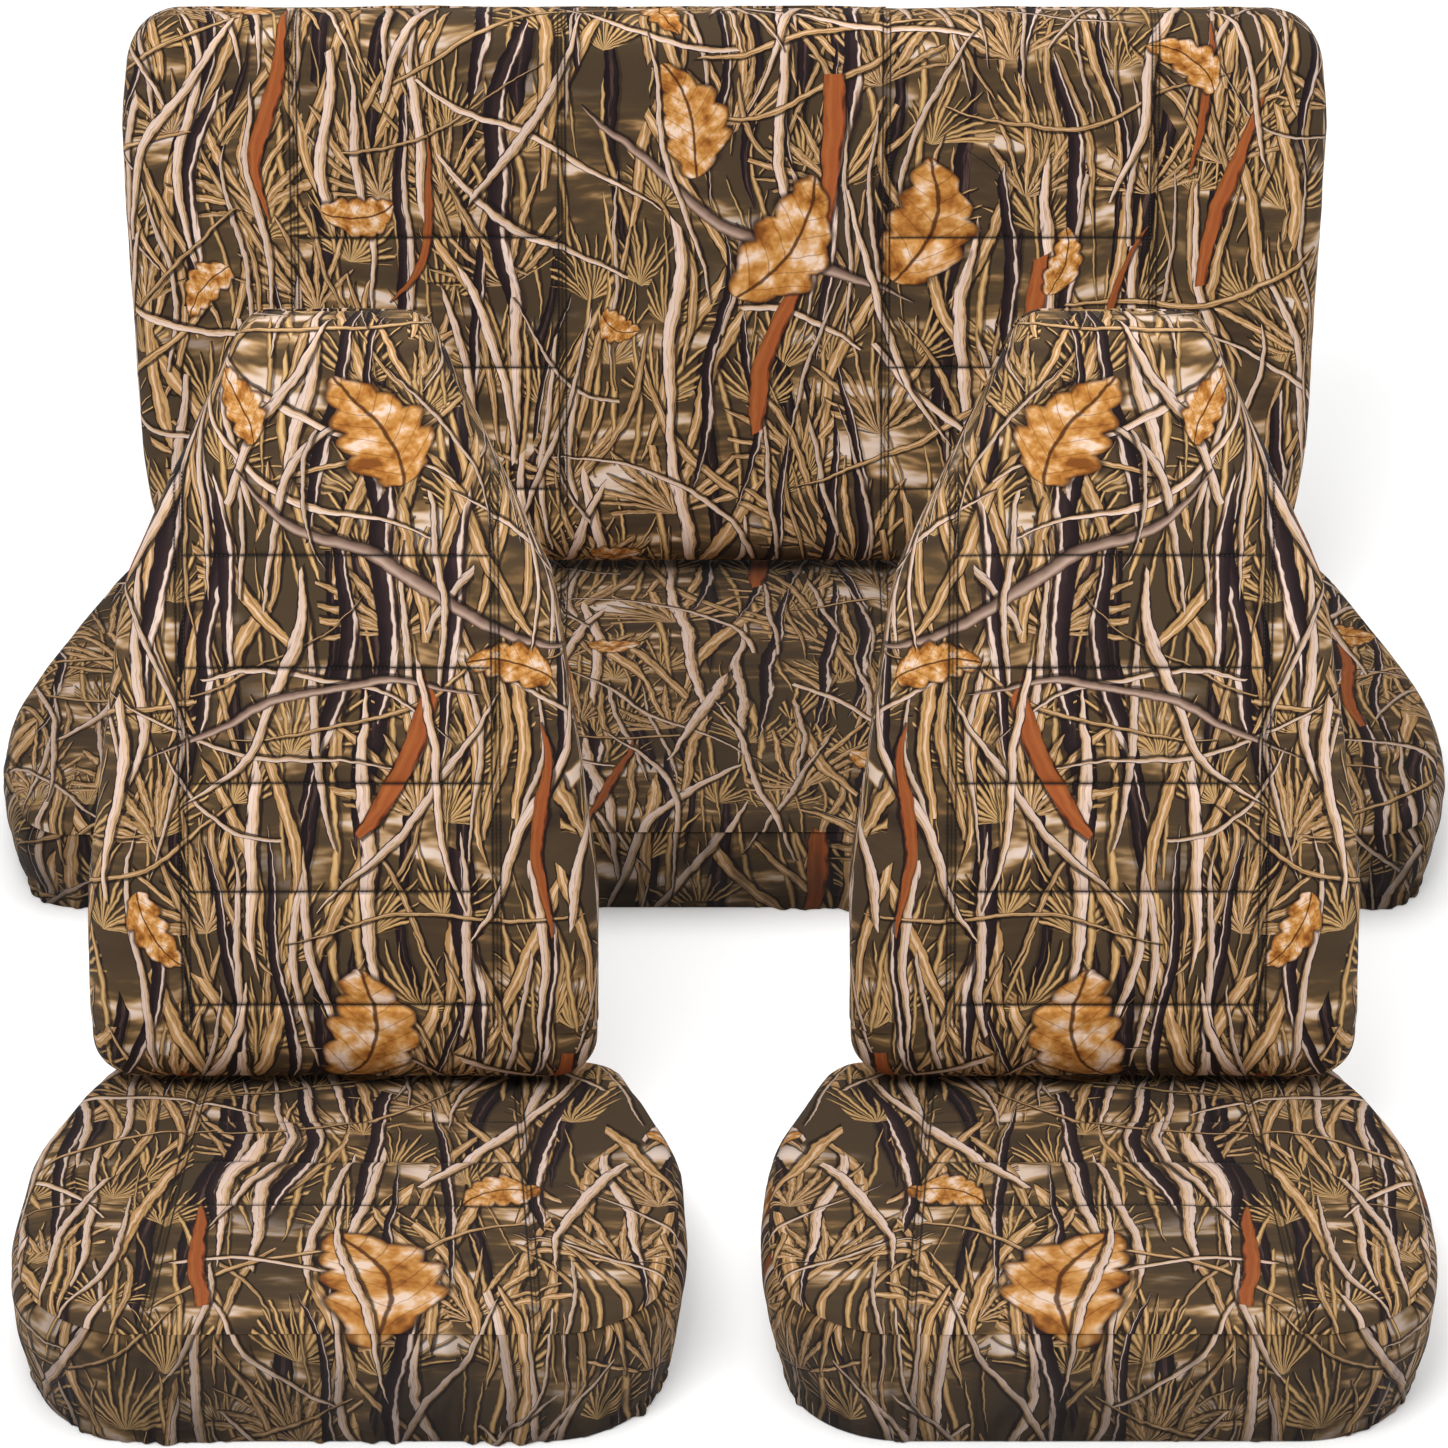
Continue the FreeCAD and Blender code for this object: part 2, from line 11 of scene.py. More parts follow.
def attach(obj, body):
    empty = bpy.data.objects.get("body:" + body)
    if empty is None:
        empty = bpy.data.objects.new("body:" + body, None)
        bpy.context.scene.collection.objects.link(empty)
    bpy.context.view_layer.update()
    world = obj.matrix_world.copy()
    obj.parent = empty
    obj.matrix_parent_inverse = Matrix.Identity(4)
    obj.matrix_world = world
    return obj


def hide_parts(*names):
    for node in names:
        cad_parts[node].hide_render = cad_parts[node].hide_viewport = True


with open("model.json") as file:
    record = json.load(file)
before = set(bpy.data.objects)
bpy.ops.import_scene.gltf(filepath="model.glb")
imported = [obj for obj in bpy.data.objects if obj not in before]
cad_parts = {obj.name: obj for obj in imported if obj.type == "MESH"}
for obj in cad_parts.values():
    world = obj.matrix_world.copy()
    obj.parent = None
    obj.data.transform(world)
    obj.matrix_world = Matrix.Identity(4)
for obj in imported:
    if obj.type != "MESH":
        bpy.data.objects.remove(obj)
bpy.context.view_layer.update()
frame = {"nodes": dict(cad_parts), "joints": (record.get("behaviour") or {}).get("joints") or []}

JOINTS = {joint["name"]: joint for joint in frame["joints"]}
FRONT_PIVOT = np.array(JOINTS["front_left_back_recline"]["pos_m"]) * 1000
BENCH_PIVOT = np.array(JOINTS["bench_back_fold"]["pos_m"]) * 1000
SET_SHIFT = BENCH_PIVOT[1] - 1347.0     # mm, layout of the set to the row frame
TILT = math.radians(16)
TAPER = math.tan(math.radians(9.5))
GAUGE = 3.4                             # mm, canvas with its foam backing
SKIRT_GAUGE = 2.0                       # mm, canvas of the skirts, no foam
NEEDLE_COLUMNS = np.array([0, 0.9, 1.8, 2.7, 3.5, 4.3, 5.3, 7.0])    # mm, mesh columns beside a seam
TWIN_NEEDLE = 3.5                       # mm, stitch rows either side of a panel seam
THREAD_LIFT = 0.0004                    # m, middle of the thread off the cloth
SEAM_GROOVE, SEAM_RISE = (2.4, 3.6), (1.0, 8.0)     # mm, depth and width beside a panel seam
QUILT_GROOVE = (1.6, 2.2)               # mm, depth and width of a quilt row
STITCH_STEP = 4.0                       # mm, points along a row of stitches
SHARP_ANGLE = math.radians(48)          # folds sharper than this show an edge
BACK_DEPTH, FRONT_EDGE, REAR_EDGE = 51.0, 34.0, 30.0    # mm, half depth and edge radii of a back
FRONT_SPLIT = 20.0                      # mm, seam between front and rear panels behind the middle
HEM_HOLD = 16.0                         # mm, wrinkles fade to none at the foot over this
REAR_FADE = 80.0                        # mm, padding fades towards the rear of a cushion
REAR_PRINT = [900, 120]                 # mm, where a rear panel is cut from the printed cloth
FLAP_RADIUS = 58.3                      # mm, closure flap about the back's axis
WIDE = 1e4                              # mm, past any edge

# ------------------------------------------------------------------ outlines


def rounded(points, radii, step=7.0):
    """Open polyline through points with its inner corners rounded."""
    pts = [np.array(p, float) for p in points]
    out = [pts[0]]
    for before, here, after, radius in zip(pts, pts[1:], pts[2:], radii):
        a, b = (before - here), (after - here)
        a, b = a / np.linalg.norm(a), b / np.linalg.norm(b)
        turn = math.pi - math.acos(np.clip(a @ b, -1, 1))
        cut = radius * math.tan(turn / 2)
        start, stop = here + a * cut, here + b * cut
        middle = (a + b) / np.linalg.norm(a + b)
        centre = here + middle * math.hypot(radius, cut)
        count = max(2, int(math.ceil(turn / math.radians(6))))
        u, v = start - centre, stop - centre
        for k in range(count + 1):
            w = math.sin(turn * (1 - k / count)) / math.sin(turn), math.sin(turn * k / count) / math.sin(turn)
            out.append(centre + u * w[0] + v * w[1])
    out.append(pts[-1])
    dense = [out[0]]
    for p in out[1:]:
        n = max(1, int(math.ceil(np.linalg.norm(p - dense[-1]) / step)))
        first = dense[-1]
        dense += [first + (p - first) * k / n for k in range(1, n + 1)]
    return np.array(dense)


def normals2(line):
    """Outward plan normals of an open polyline that runs with the outside on its right."""
    t = np.gradient(line, axis=0)
    t /= np.linalg.norm(t, axis=1)[:, None] + 1e-9
    return np.stack([t[:, 1], -t[:, 0]], 1)


def nearest(line, norm, pts):
    """Distance to a polyline and the outward normal where it is nearest."""
    a, b = line[:-1], line[1:]
    ab = b - a
    length = (ab ** 2).sum(1) + 1e-12
    dist = np.full(len(pts), 1e9)
    out = np.zeros((len(pts), 2))
    for k in range(0, len(pts), 4000):
        p = pts[k:k + 4000]
        t = np.clip(((p[:, None] - a) * ab).sum(2) / length, 0, 1)
        q = a + ab * t[..., None]
        d = np.linalg.norm(p[:, None] - q, axis=2)
        j = d.argmin(1)
        r = np.arange(len(p))
        dist[k:k + 4000] = d[r, j]
        w = t[r, j][:, None]
        n = norm[j] * (1 - w) + norm[j + 1] * w
        out[k:k + 4000] = n / (np.linalg.norm(n, axis=1)[:, None] + 1e-9)
    return dist, out


def both_sides(half):
    """Full outline from its +X half: right side reversed comes after the left."""
    left = half * [-1, 1]
    return np.concatenate([half, left[::-1][1:]])


# ------------------------------------------------------------------ meshes


def weld(verts, uv, quads, tol=0.02):
    """Merges equal points and drops collapsed faces."""
    key = np.round(verts / tol).astype(np.int64)
    _, index, inverse = np.unique(key, axis=0, return_index=True, return_inverse=True)
    inverse = inverse.reshape(-1)
    faces = []
    for quad in inverse[quads]:
        ring = [int(v) for k, v in enumerate(quad) if v != quad[k - 1]]
        if len(set(ring)) == len(ring) and len(ring) > 2:
            faces.append(ring)
    return verts[index], uv[index], faces


def grid_quads(rows, cols, start=0):
    """Quads of a rows by cols grid."""
    i = np.arange(rows - 1)[:, None] * cols + np.arange(cols - 1) + start
    i = i.ravel()
    return np.stack([i, i + 1, i + cols + 1, i + cols], 1)


def facing(verts, quads, out):
    """Quads wound so that their normals agree with an outward direction."""
    n = np.cross(verts[quads[:, 2]] - verts[quads[:, 0]], verts[quads[:, 3]] - verts[quads[:, 1]])
    return quads if (n * out[quads[:, 0]]).sum() > 0 else quads[:, ::-1]


def fabric_noise(verts, scale, seed, octaves=3):
    """Soft random field on points, about -1 to 1."""
    return np.array([noise.fractal(Vector((x / scale[0], y / scale[1], z / scale[2])) + Vector((seed, 0, 0)),
                                   1.0, 2.0, octaves) for x, y, z in verts])


def link(name, data):
    """New object in the scene."""
    obj = bpy.data.objects.new(name, data)
    bpy.context.scene.collection.objects.link(obj)
    return obj


def baked(obj):
    """Replaces the mesh of an object by what its modifiers make of it."""
    drawn, shown = obj.data, bpy.data.meshes.new_from_object(obj.evaluated_get(bpy.context.evaluated_depsgraph_get()))
    obj.modifiers.clear()
    obj.data = shown
    bpy.data.meshes.remove(drawn)
    shown.name = obj.name
    shown.shade_smooth()
    return shown


def cloth_mesh(name, verts, uv, faces):
    """Mesh from row metres, with the cloth position in mm as its UV map in metres."""
    mesh = bpy.data.meshes.new(name)
    mesh.from_pydata([tuple(p) for p in verts], [], faces)
    mesh.update()
    layer = mesh.uv_layers.new(name="cloth")
    loops = np.zeros(len(mesh.loops), np.int32)
    mesh.loops.foreach_get("vertex_index", loops)
    layer.data.foreach_set("uv", (uv[loops] / 1000).astype(np.float32).ravel())
    return mesh


def wear(obj, body):
    """Puts a piece on its body."""
    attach(obj, body)


def build_piece(name, body, nodes, verts, uv, faces, place, gauge, crease=None):
    """Closed cloth piece from its face side; place turns local mm into row metres."""
    mesh = cloth_mesh(name, place(verts), uv, faces)
    # this point attribute holds painted shade; the print shader darkens the cloth colour by it
    if crease is not None:
        mesh.attributes.new("crease", "FLOAT", "POINT").data.foreach_set("value", crease.astype(np.float32))
    for mat in CLOTH:
        mesh.materials.append(mat)
    obj = link(name, mesh)
    solid = obj.modifiers.new("gauge", "SOLIDIFY")
    solid.thickness = gauge / 1000
    solid.offset = -1
    solid.use_rim = True
    solid.material_offset = 1
    solid.material_offset_rim = 0
    baked(obj).set_sharp_from_angle(angle=SHARP_ANGLE)
    if nodes:
        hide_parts(*nodes)
    wear(obj, body)
    return obj


def face_area(verts, faces):
    """Area of the face side, square mm."""
    total = 0.0
    for f in faces:
        p = verts[list(f)]
        sides = (p[2] - p[0], p[3] - p[1]) if len(f) == 4 else (p[1] - p[0], p[2] - p[0])
        total += 0.5 * np.linalg.norm(np.cross(*sides))
    return total


def cut_sheet(verts, uv, faces):
    """Works out the span and the area of a panel's cut; nothing is done with them."""
    span = np.maximum((uv.max(0) - uv.min(0)) / 1000, 0.012)
    area = face_area(verts, faces) / 1e6
    area = min(max(area, 0.31 * span[0] * span[1]), span[0] * span[1])


def spread(count):
    """0 to 1, closer together near both ends."""
    return (1 - np.cos(np.linspace(0, math.pi, count))) / 2


def rows_with(vs, ws, marks, near=(0, 1.2, 2.6, 4.5)):
    """Row positions with extra ones beside marks."""
    extra = [m + s * d for m in marks for d in near for s in (-1, 1)]
    extra = [e for e in extra if vs[0] < e < vs[-1]]
    v = np.unique(np.round(np.concatenate([vs, extra]), 3))
    keep = [0]
    for k in range(1, len(v)):
        if v[k] - v[keep[-1]] > 0.55 or k == len(v) - 1:
            keep.append(k)
    v = v[keep]
    return v, np.interp(v, vs, ws)


def seam_shade_amount(seams, rows):
    """Strength of painted shade along seams, their needle rows and quilt rows, 0 to 1, from distances to them."""
    out = np.zeros_like(seams[0])
    for d in seams:
        out = np.maximum(out, dent(np.abs(d) - TWIN_NEEDLE, 1.0, 0.95))
        out = np.maximum(out, dent(d, 0.7, 1.1))
    for d, share in rows:
        out = np.maximum(out, dent(d, 1.0, 1.4) * share)
    return out


def dent(d, depth, width):
    """Groove beside a seam at distance d."""
    return depth * np.exp(-(d / width) ** 2)


def pillow(t):
    """0 at both ends of 0..1 and 1 between, steep near the ends."""
    t = np.clip(t, 0, 1)
    return 1 - (2 * t - 1) ** 6


# ------------------------------------------------------------------ covers


class Lobe:
    """One padded cover face: outline across and along, height outward.

    half: +X half of the outline, from the open or front edge to the far edge.
    rows: slice of half that gives the grid rows.
    height(a, v): face height before the edge rounding.
    """

    def __init__(self, half, first, last, radius, height, inset=0.0):
        self.half = half
        self.norm = normals2(half)
        self.full = both_sides(half)
        self.full_norm = np.concatenate([self.norm, (self.norm * [-1, 1])[::-1][1:]])
        self.radius = radius
        self.height = height
        self.inset = inset
        edge = half - self.norm * inset
        self.v, self.w = edge[first:last, 1], edge[first:last, 0]

    def point(self, a, v):
        """Height, cloth position and outward normal of face points."""
        p = np.stack([a, v], 1)
        d, n = nearest(self.full, self.full_norm, p)
        r = self.radius
        g = np.clip(r - d, 0, r)
        h = self.height(a, v) - (r - np.sqrt(np.maximum(r * r - g * g, 0)))
        lean = np.clip(g / r, 0, 1)
        reach = r * np.arcsin(lean) - g
        aim = np.column_stack([n * lean[:, None], np.sqrt(1 - lean ** 2)])
        return h, p + n * reach[:, None], aim


def fixed(x):
    """Straight seam at one across position."""
    return lambda v: x + 0 * v


def crossings(v, gap):
    """Positions along where a gap changes sign."""
    k = np.nonzero(gap[:-1] * gap[1:] < 0)[0]
    return v[k] + (v[k + 1] - v[k]) * gap[k] / (gap[k] - gap[k + 1])


def quilting(a, v, seams, span, ends, marks, padding):
    """Seam grooves, quilt rows and padding; span is (low, high) of a quilted panel, None on a plain one.

    ends: first and last position along; padding: mm for a quilted panel and for a plain one.
    """
    out, rise = np.zeros_like(a), np.ones_like(a)
    for seam in seams:
        out -= dent(a - seam, *SEAM_GROOVE)
        rise = np.minimum(rise, 1 - dent(a - seam, *SEAM_RISE))
    if span is None:
        return out + padding[1] * rise
    inside = pillow((a - span[0]) / (span[1] - span[0]))
    edges = [ends[0], *marks, ends[1]]
    for e0, e1 in zip(edges[:-1], edges[1:]):
        t = (v - e0) / (e1 - e0)
        out += np.where((t >= 0) & (t < 1), padding[0] * pillow(t) * inside, 0)
    for m in marks:
        out -= dent(v - m, *QUILT_GROOVE) * inside
    return out


def edge_band(line, out, deep, bulge, reach):
    """Strip round an outline with outward normals out: points, cloth position, grid and normals."""
    band = line[:, None, :] + out[:, None, :] * bulge[None, :, None]
    verts = np.stack([band[..., 0], np.repeat(deep[None], len(line), 0), band[..., 1]], 2).reshape(-1, 3)
    cloth = (line[:, None, :] + out[:, None, :] * reach[None, :, None]).reshape(-1, 2)
    aim = np.repeat(np.stack([out[:, 0], 0 * out[:, 0], out[:, 1]], 1), len(deep), 0)
    return verts, cloth, grid_quads(len(line), len(deep)), aim


def side_rows(half):
    """First and one past the last outline point on the side of a back."""
    n = normals2(half)
    return 0, int(len(n) - np.argmax(n[::-1, 0] > 1e-3))


def panel_grid(lobe, low, high, marks, cols):
    """Face grid between two across-limits given as functions of v; returns a, v, the rows and both limits."""
    v, w = rows_with(lobe.v, lobe.w, marks)
    v = np.unique(np.concatenate([v] + [crossings(v, edge(v) - s * w) for edge in (low, high) for s in (-1, 1)]))
    w = np.interp(v, lobe.v, lobe.w)
    lo = np.maximum(low(v), -w)
    hi = np.maximum(np.minimum(high(v), w), lo)
    keep = np.minimum(high(v), w) - lo > -0.01
    v, lo, hi = v[keep], lo[keep], hi[keep]
    shrink = np.minimum(1, (hi - lo) / (2.4 * NEEDLE_COLUMNS[-1]))[:, None]
    left, right = lo[:, None] + NEEDLE_COLUMNS * shrink, hi[:, None] - NEEDLE_COLUMNS[::-1] * shrink
    inner = left[:, -1:] + (right[:, :1] - left[:, -1:]) * spread(cols)[1:-1]
    a = np.hstack([left, inner, right])
    return a, np.repeat(v[:, None], a.shape[1], 1), v, lo, hi


def back_place(offset, pivot):
    """Back frame, mm: recliner axis at the origin, to the row frame in metres."""
    c, s = math.cos(TILT), math.sin(TILT)

    def place(p):
        x, y, z = p[:, 0] + offset, p[:, 1] * c + p[:, 2] * s, -p[:, 1] * s + p[:, 2] * c
        return np.stack([x, y + pivot[1], z + pivot[2]], 1) / 1000
    return place


def cushion_place(offset):
    """Cushion frame, mm, to the row frame in metres."""
    def place(p):
        return (p + [offset, SET_SHIFT, 0]) / 1000
    return place


def settle(verts, n, relief, seed, wrinkle, hold=1.0):
    """Moves points along their normals by a relief plus soft random wrinkles, none where hold is 0."""
    soft = fabric_noise(verts, (120, 120, 120), seed, 2) * wrinkle
    fine = fabric_noise(verts, (34, 60, 34), seed + 9, 2) * wrinkle * 0.35
    return verts + n * (relief + (soft + fine) * hold)[:, None]


def back_cover(tag, offset, pivot, half, seams, marks, cross, panels, flip, shift_uv):
    """All panels of one back cover.

    seams: across positions of the vertical seams; marks: quilt rows; cross: panels with quilt rows.
    panels: panel name to (low, high) across limits.
    """
    place = back_place(offset, pivot)
    depth, radius, split = BACK_DEPTH, FRONT_EDGE, FRONT_SPLIT
    first, last = side_rows(half)

    def level(a, _):
        """Flat face; the padding is added as relief."""
        return np.full_like(a, depth)

    lobe = Lobe(half, first, last, radius, level)

    def relief(a, v, name):
        return quilting(a, v, seams, cross.get(name), (-30.0, half[:, 1].max()), marks, (3.4, 3.0))

    def painted_seam_shade(p, name):
        """Painted shade along the seams and stitch rows on the front face."""
        lo, hi = cross.get(name, (0, 0))
        inside = (p[:, 0] > lo + 2) & (p[:, 0] < hi - 2)
        front = (p[:, 1] < 0) * np.clip(p[:, 2] / 3, 0, 1)
        return seam_shade_amount([p[:, 0] - x for x in seams], [(p[:, 2] - m, inside) for m in marks]) * front

    def finish_piece(name, nodes, parts, gauge=GAUGE, wrinkle=1.3, seed=0.0, rel=None, shaded_panel=None):
        """Welds grids, moves the cloth and builds the piece."""
        verts = np.concatenate([p[0] for p in parts])
        uv = np.concatenate([np.hstack([p[1], p[3]]) for p in parts])
        quads, start = [], 0
        for p in parts:
            quads.append(facing(p[0], p[2], p[3]) + start)
            start += len(p[0])
        verts, uv, faces = weld(verts, uv, np.concatenate(quads))
        aim, uv = uv[:, 2:], uv[:, :2]
        aim = aim / np.linalg.norm(aim, axis=1)[:, None]
        amount = rel(verts) if rel else 0.0
        # painted shade along the seams and stitch rows, front panels only
        crease = painted_seam_shade(verts, shaded_panel) if shaded_panel else None
        verts = settle(verts, aim, amount, seed, wrinkle, np.clip(np.abs(verts[:, 2]) / HEM_HOLD, 0, 1))
        uv = uv * [flip, 1] + shift_uv
        obj = build_piece(name, tag, nodes, verts, uv, faces, place, gauge, crease)
        cut_sheet(verts, uv, faces)
        return obj

    # front panels, each with its share of the edge band
    fronts = []
    for number, (name, (lo, hi)) in enumerate(panels.items()):
        a, v, rows, left, right = panel_grid(lobe, lambda q: np.full_like(q, lo), lambda q: np.full_like(q, hi),
                                             marks, 46 if hi - lo > 150 else 30)
        shape = a.shape
        h, cloth, n = lobe.point(a.ravel(), v.ravel())
        face = np.stack([a.ravel(), -h, v.ravel()], 1)
        parts = [(face, cloth, grid_quads(*shape), n[:, [0, 2, 1]] * [1, -1, 1])]
        # the edge band runs over that part of the outline that bounds the panel
        w = np.interp(rows, lobe.v, lobe.w)
        touch_r, touch_l = right >= w - 0.01, left <= -w + 0.01
        line = []
        if touch_l.any():
            line += [(-x, q) for x, q in zip(w[touch_l], rows[touch_l])]
        if rows[-1] > lobe.v[-1] - 0.05:
            line += [(x, rows[-1]) for x in a[-1]]
        if touch_r.any():
            line += [(x, q) for x, q in zip(w[touch_r][::-1], rows[touch_r][::-1])]
        if len(line) > 2:
            line = np.array([p for k, p in enumerate(line) if k == 0 or math.dist(p, line[k - 1]) > 1e-4])
            _, ln = nearest(lobe.full, lobe.full_norm, line)
            deep = np.concatenate([np.linspace(-depth + radius, split - 6, 9), [split - 3, split - 1.2, split]])
            t = (deep - deep[0]) / (split - deep[0])
            bulge = 2.6 * np.sin(math.pi * np.clip(t * 0.62 + 0.19, 0, 1)) - 2.6 * math.sin(math.pi * 0.19)
            bulge -= dent(deep - split, 2.0, 3.0)
            full_reach = radius * (math.pi / 2 - 1)
            parts.append(edge_band(line, ln, deep, bulge, full_reach + deep - deep[0]))

        def rel(p, name=name):
            face_share = np.clip((-p[:, 1] - (depth - radius)) / radius, 0, 1)
            return relief(p[:, 0], p[:, 2], name) * np.sqrt(face_share) * np.clip(p[:, 2] / HEM_HOLD, 0, 1)

        fronts.append(finish_piece(f"{tag}_{name}_cloth", [f"{tag}_{name}"], parts,
                                   seed=number * 3.1 + offset / 100, rel=rel, shaded_panel=name))

    # rear panel: rear face and the rest of the edge band
    rear = Lobe(half, first, last, REAR_EDGE, level)
    a, v, rows = panel_grid(rear, fixed(-WIDE), fixed(WIDE), [], 64)[:3]
    h, cloth, n = rear.point(a.ravel(), v.ravel())
    face = np.stack([a.ravel(), h, v.ravel()], 1)
    parts = [(face, cloth + REAR_PRINT, grid_quads(*a.shape), n[:, [0, 2, 1]])]
    w = np.interp(rows, rear.v, rear.w)
    line = np.array([(-x, q) for x, q in zip(w, rows)] + [(x, rows[-1]) for x in a[-1][1:-1]] +
                    [(x, q) for x, q in zip(w[::-1], rows[::-1])])
    _, ln = nearest(rear.full, rear.full_norm, line)
    deep = np.array([split, depth - rear.radius])
    reach = rear.radius * (math.pi / 2 - 1)
    strip = edge_band(line, ln, deep, np.zeros(len(deep)), reach + deep[::-1] - split)
    parts.append((strip[0], strip[1] + REAR_PRINT, *strip[2:]))
    finish_piece(f"{tag}_rear_panel_cloth", [f"{tag}_rear_panel"], parts, seed=offset / 50 + 4, wrinkle=1.8)

    # tuck tail: round the bottom from the front panels
    angle = np.radians(np.linspace(180, 345, 40))
    end_round = 40.0
    t = np.linspace(-1, 1, 110)
    x = np.sign(t) * (1 - (1 - np.abs(t)) ** 1.5) * half[0, 0]
    g = np.clip(end_round - (half[0, 0] - np.abs(x)), 0, end_round)
    r = depth - 0.88 * (end_round - np.sqrt(end_round ** 2 - g ** 2))
    grid = np.stack([np.repeat(x[None], len(angle), 0), np.cos(angle)[:, None] * r, np.sin(angle)[:, None] * r], 2)
    cloth = np.stack([grid[..., 0], np.repeat((-depth * (angle - math.pi))[:, None], len(t), 1)], 2)
    aim = np.stack([0 * grid[..., 0], grid[..., 1], grid[..., 2]], 2).reshape(-1, 3)
    parts = [(grid.reshape(-1, 3), cloth.reshape(-1, 2), grid_quads(*grid.shape[:2]), aim)]
    finish_piece(f"{tag}_tuck_tail_cloth", [f"{tag}_tuck_tail"], parts, seed=7, wrinkle=0.7, gauge=3.0)

    run = np.arange(3.0, half[:, 1].max() - 6, STITCH_STEP)
    lines = []
    for x in seams:
        reach = run[np.interp(run, lobe.v, lobe.w) > abs(x) + 2]
        for side_of in (-TWIN_NEEDLE, TWIN_NEEDLE):
            lines.append(np.stack([0 * reach + x + side_of, 0 * reach, reach], 1))
    for low, high in cross.values():
        for m in marks:
            across = np.arange(low + 4, high - 3, STITCH_STEP)
            lines.append(np.stack([across, 0 * across, 0 * across + m], 1))
    sew(f"{tag}_stitches", tag, [project(fronts, place, line, (0, 1, 0)) for line in lines])


def cushion_cover(tag, offset, k, flip, shift_uv):
    """All panels of one cushion cover; k holds its sizes and limits."""
    place = cushion_place(offset)
    hem = k["hem"]
    norm = normals2(hem)

    def top_z(v):
        """Chord with a crown along the cushion."""
        t = (v - k["start"]) / (k["rear"] - k["start"])
        return k["z0"] + (k["z1"] - k["z0"]) * t + 4 * k["crown"] * t * (1 - t)

    edge_z = top_z(hem[:, 1]) - 10
    edge = hem + norm * (edge_z * TAPER)[:, None]
    radius, inset = k["edge"], k["edge"] * (1 - math.cos(math.radians(48)))
    first = int(np.argmax(norm[:, 0] > 1e-3))
    last = int(len(norm) - np.argmax(norm[::-1, 0] > 1e-3))

    def height(a, v):
        t = np.clip(1 - (a / k["belly"]) ** 2, 0, 1)
        return top_z(v) + k["dome"] * np.sqrt(t) - k["dome"] * 0.5

    lobe = Lobe(edge, first, last, radius, height, inset)
    top_edge = edge - norm * inset

    def relief(a, v, name):
        span = [limit(v) for limit in k["cross"][name]] if name in k["cross"] else None
        out = quilting(a, v, [seam(v) for seam in k["seams"]], span, (k["start"] + 30, k["rear"]), k["marks"],
                       (3.2, 2.6))
        level = np.clip((k["rear"] - v) / REAR_FADE, 0, 1)
        return out * level - 1.6 * (1 - level)

    tops = []
    for number, (name, (lo, hi)) in enumerate(k["panels"].items()):
        a, v = panel_grid(lobe, lo, hi, k["marks"], 50 if number == 0 else 34)[:2]
        h, cloth, n = lobe.point(a.ravel(), v.ravel())
        verts = np.stack([a.ravel(), v.ravel(), h], 1)
        quads = facing(verts, grid_quads(*a.shape), n)
        verts, uv, faces = weld(verts, np.hstack([cloth, n]), quads)
        aim, uv = uv[:, 2:], uv[:, :2]
        inside = np.zeros(len(verts))
        if name in k["cross"]:
            inside = (verts[:, 0] > lo(verts[:, 1]) + 2) & (verts[:, 0] < hi(verts[:, 1]) - 2)
        # painted shade: along seams and quilt rows, and at least an even painted shade over the whole top
        crease = seam_shade_amount([verts[:, 0] - seam(verts[:, 1]) for seam in k["seams"]],
                         [(verts[:, 1] - m, inside) for m in k["marks"]])
        crease = np.maximum(crease, k["shade"])
        rim = both_sides(top_edge)
        near_edge = dent(nearest(rim, np.zeros_like(rim), verts[:, :2])[0], 2.2, 3.0)
        moved = relief(verts[:, 0], verts[:, 1], name) - near_edge
        verts = settle(verts, aim, moved, number * 2.3 + offset / 70, 1.3)
        uv = uv * [flip, 1] + shift_uv
        obj = build_piece(f"{tag}_{name}_cloth", tag, [f"{tag}_{name}"], verts, uv, faces, place, GAUGE, crease)
        cut_sheet(verts, uv, faces)
        tops.append(obj)

    run = np.arange(k["start"] + 50, k["rear"] - 8, STITCH_STEP)
    lines = []
    for seam in k["seams"]:
        for side_of in (-TWIN_NEEDLE, TWIN_NEEDLE):
            lines.append(np.stack([seam(run) + side_of, run, 0 * run], 1))
    for lo, hi in k["cross"].values():
        for m in k["marks"]:
            spot = np.array([m])
            across = np.arange(lo(spot)[0] + 4, hi(spot)[0] - 3, STITCH_STEP)
            lines.append(np.stack([across, 0 * across + m, 0 * across], 1))
    high_up = np.array([0, 0, 200.0])
    sew(f"{tag}_stitches", tag, [project(tops, place, line + high_up, (0, 0, -1)) for line in lines])

    # skirts: strips round the cushion from the top seam to the elastic hem
    ring = both_sides(hem)[:-1]
    ring_n = np.concatenate([norm, (norm * [-1, 1])[::-1][1:]])[:-1]
    seam_p = both_sides(top_edge)[:-1]
    arc = np.concatenate([[0], np.cumsum(np.linalg.norm(np.diff(edge, axis=0), axis=1))])
    total = arc[-1]
    around = np.concatenate([arc, 2 * total - arc[::-1][1:]])
    fine = np.linspace(0, 2 * total, int(2 * total / k["pleat_step"]), endpoint=False)

    def evenly(values):
        """Ring values at even steps round the cushion."""
        wrapped = np.concatenate([values, values[:1]])
        return np.stack([np.interp(fine, around, column) for column in wrapped.T], 1)

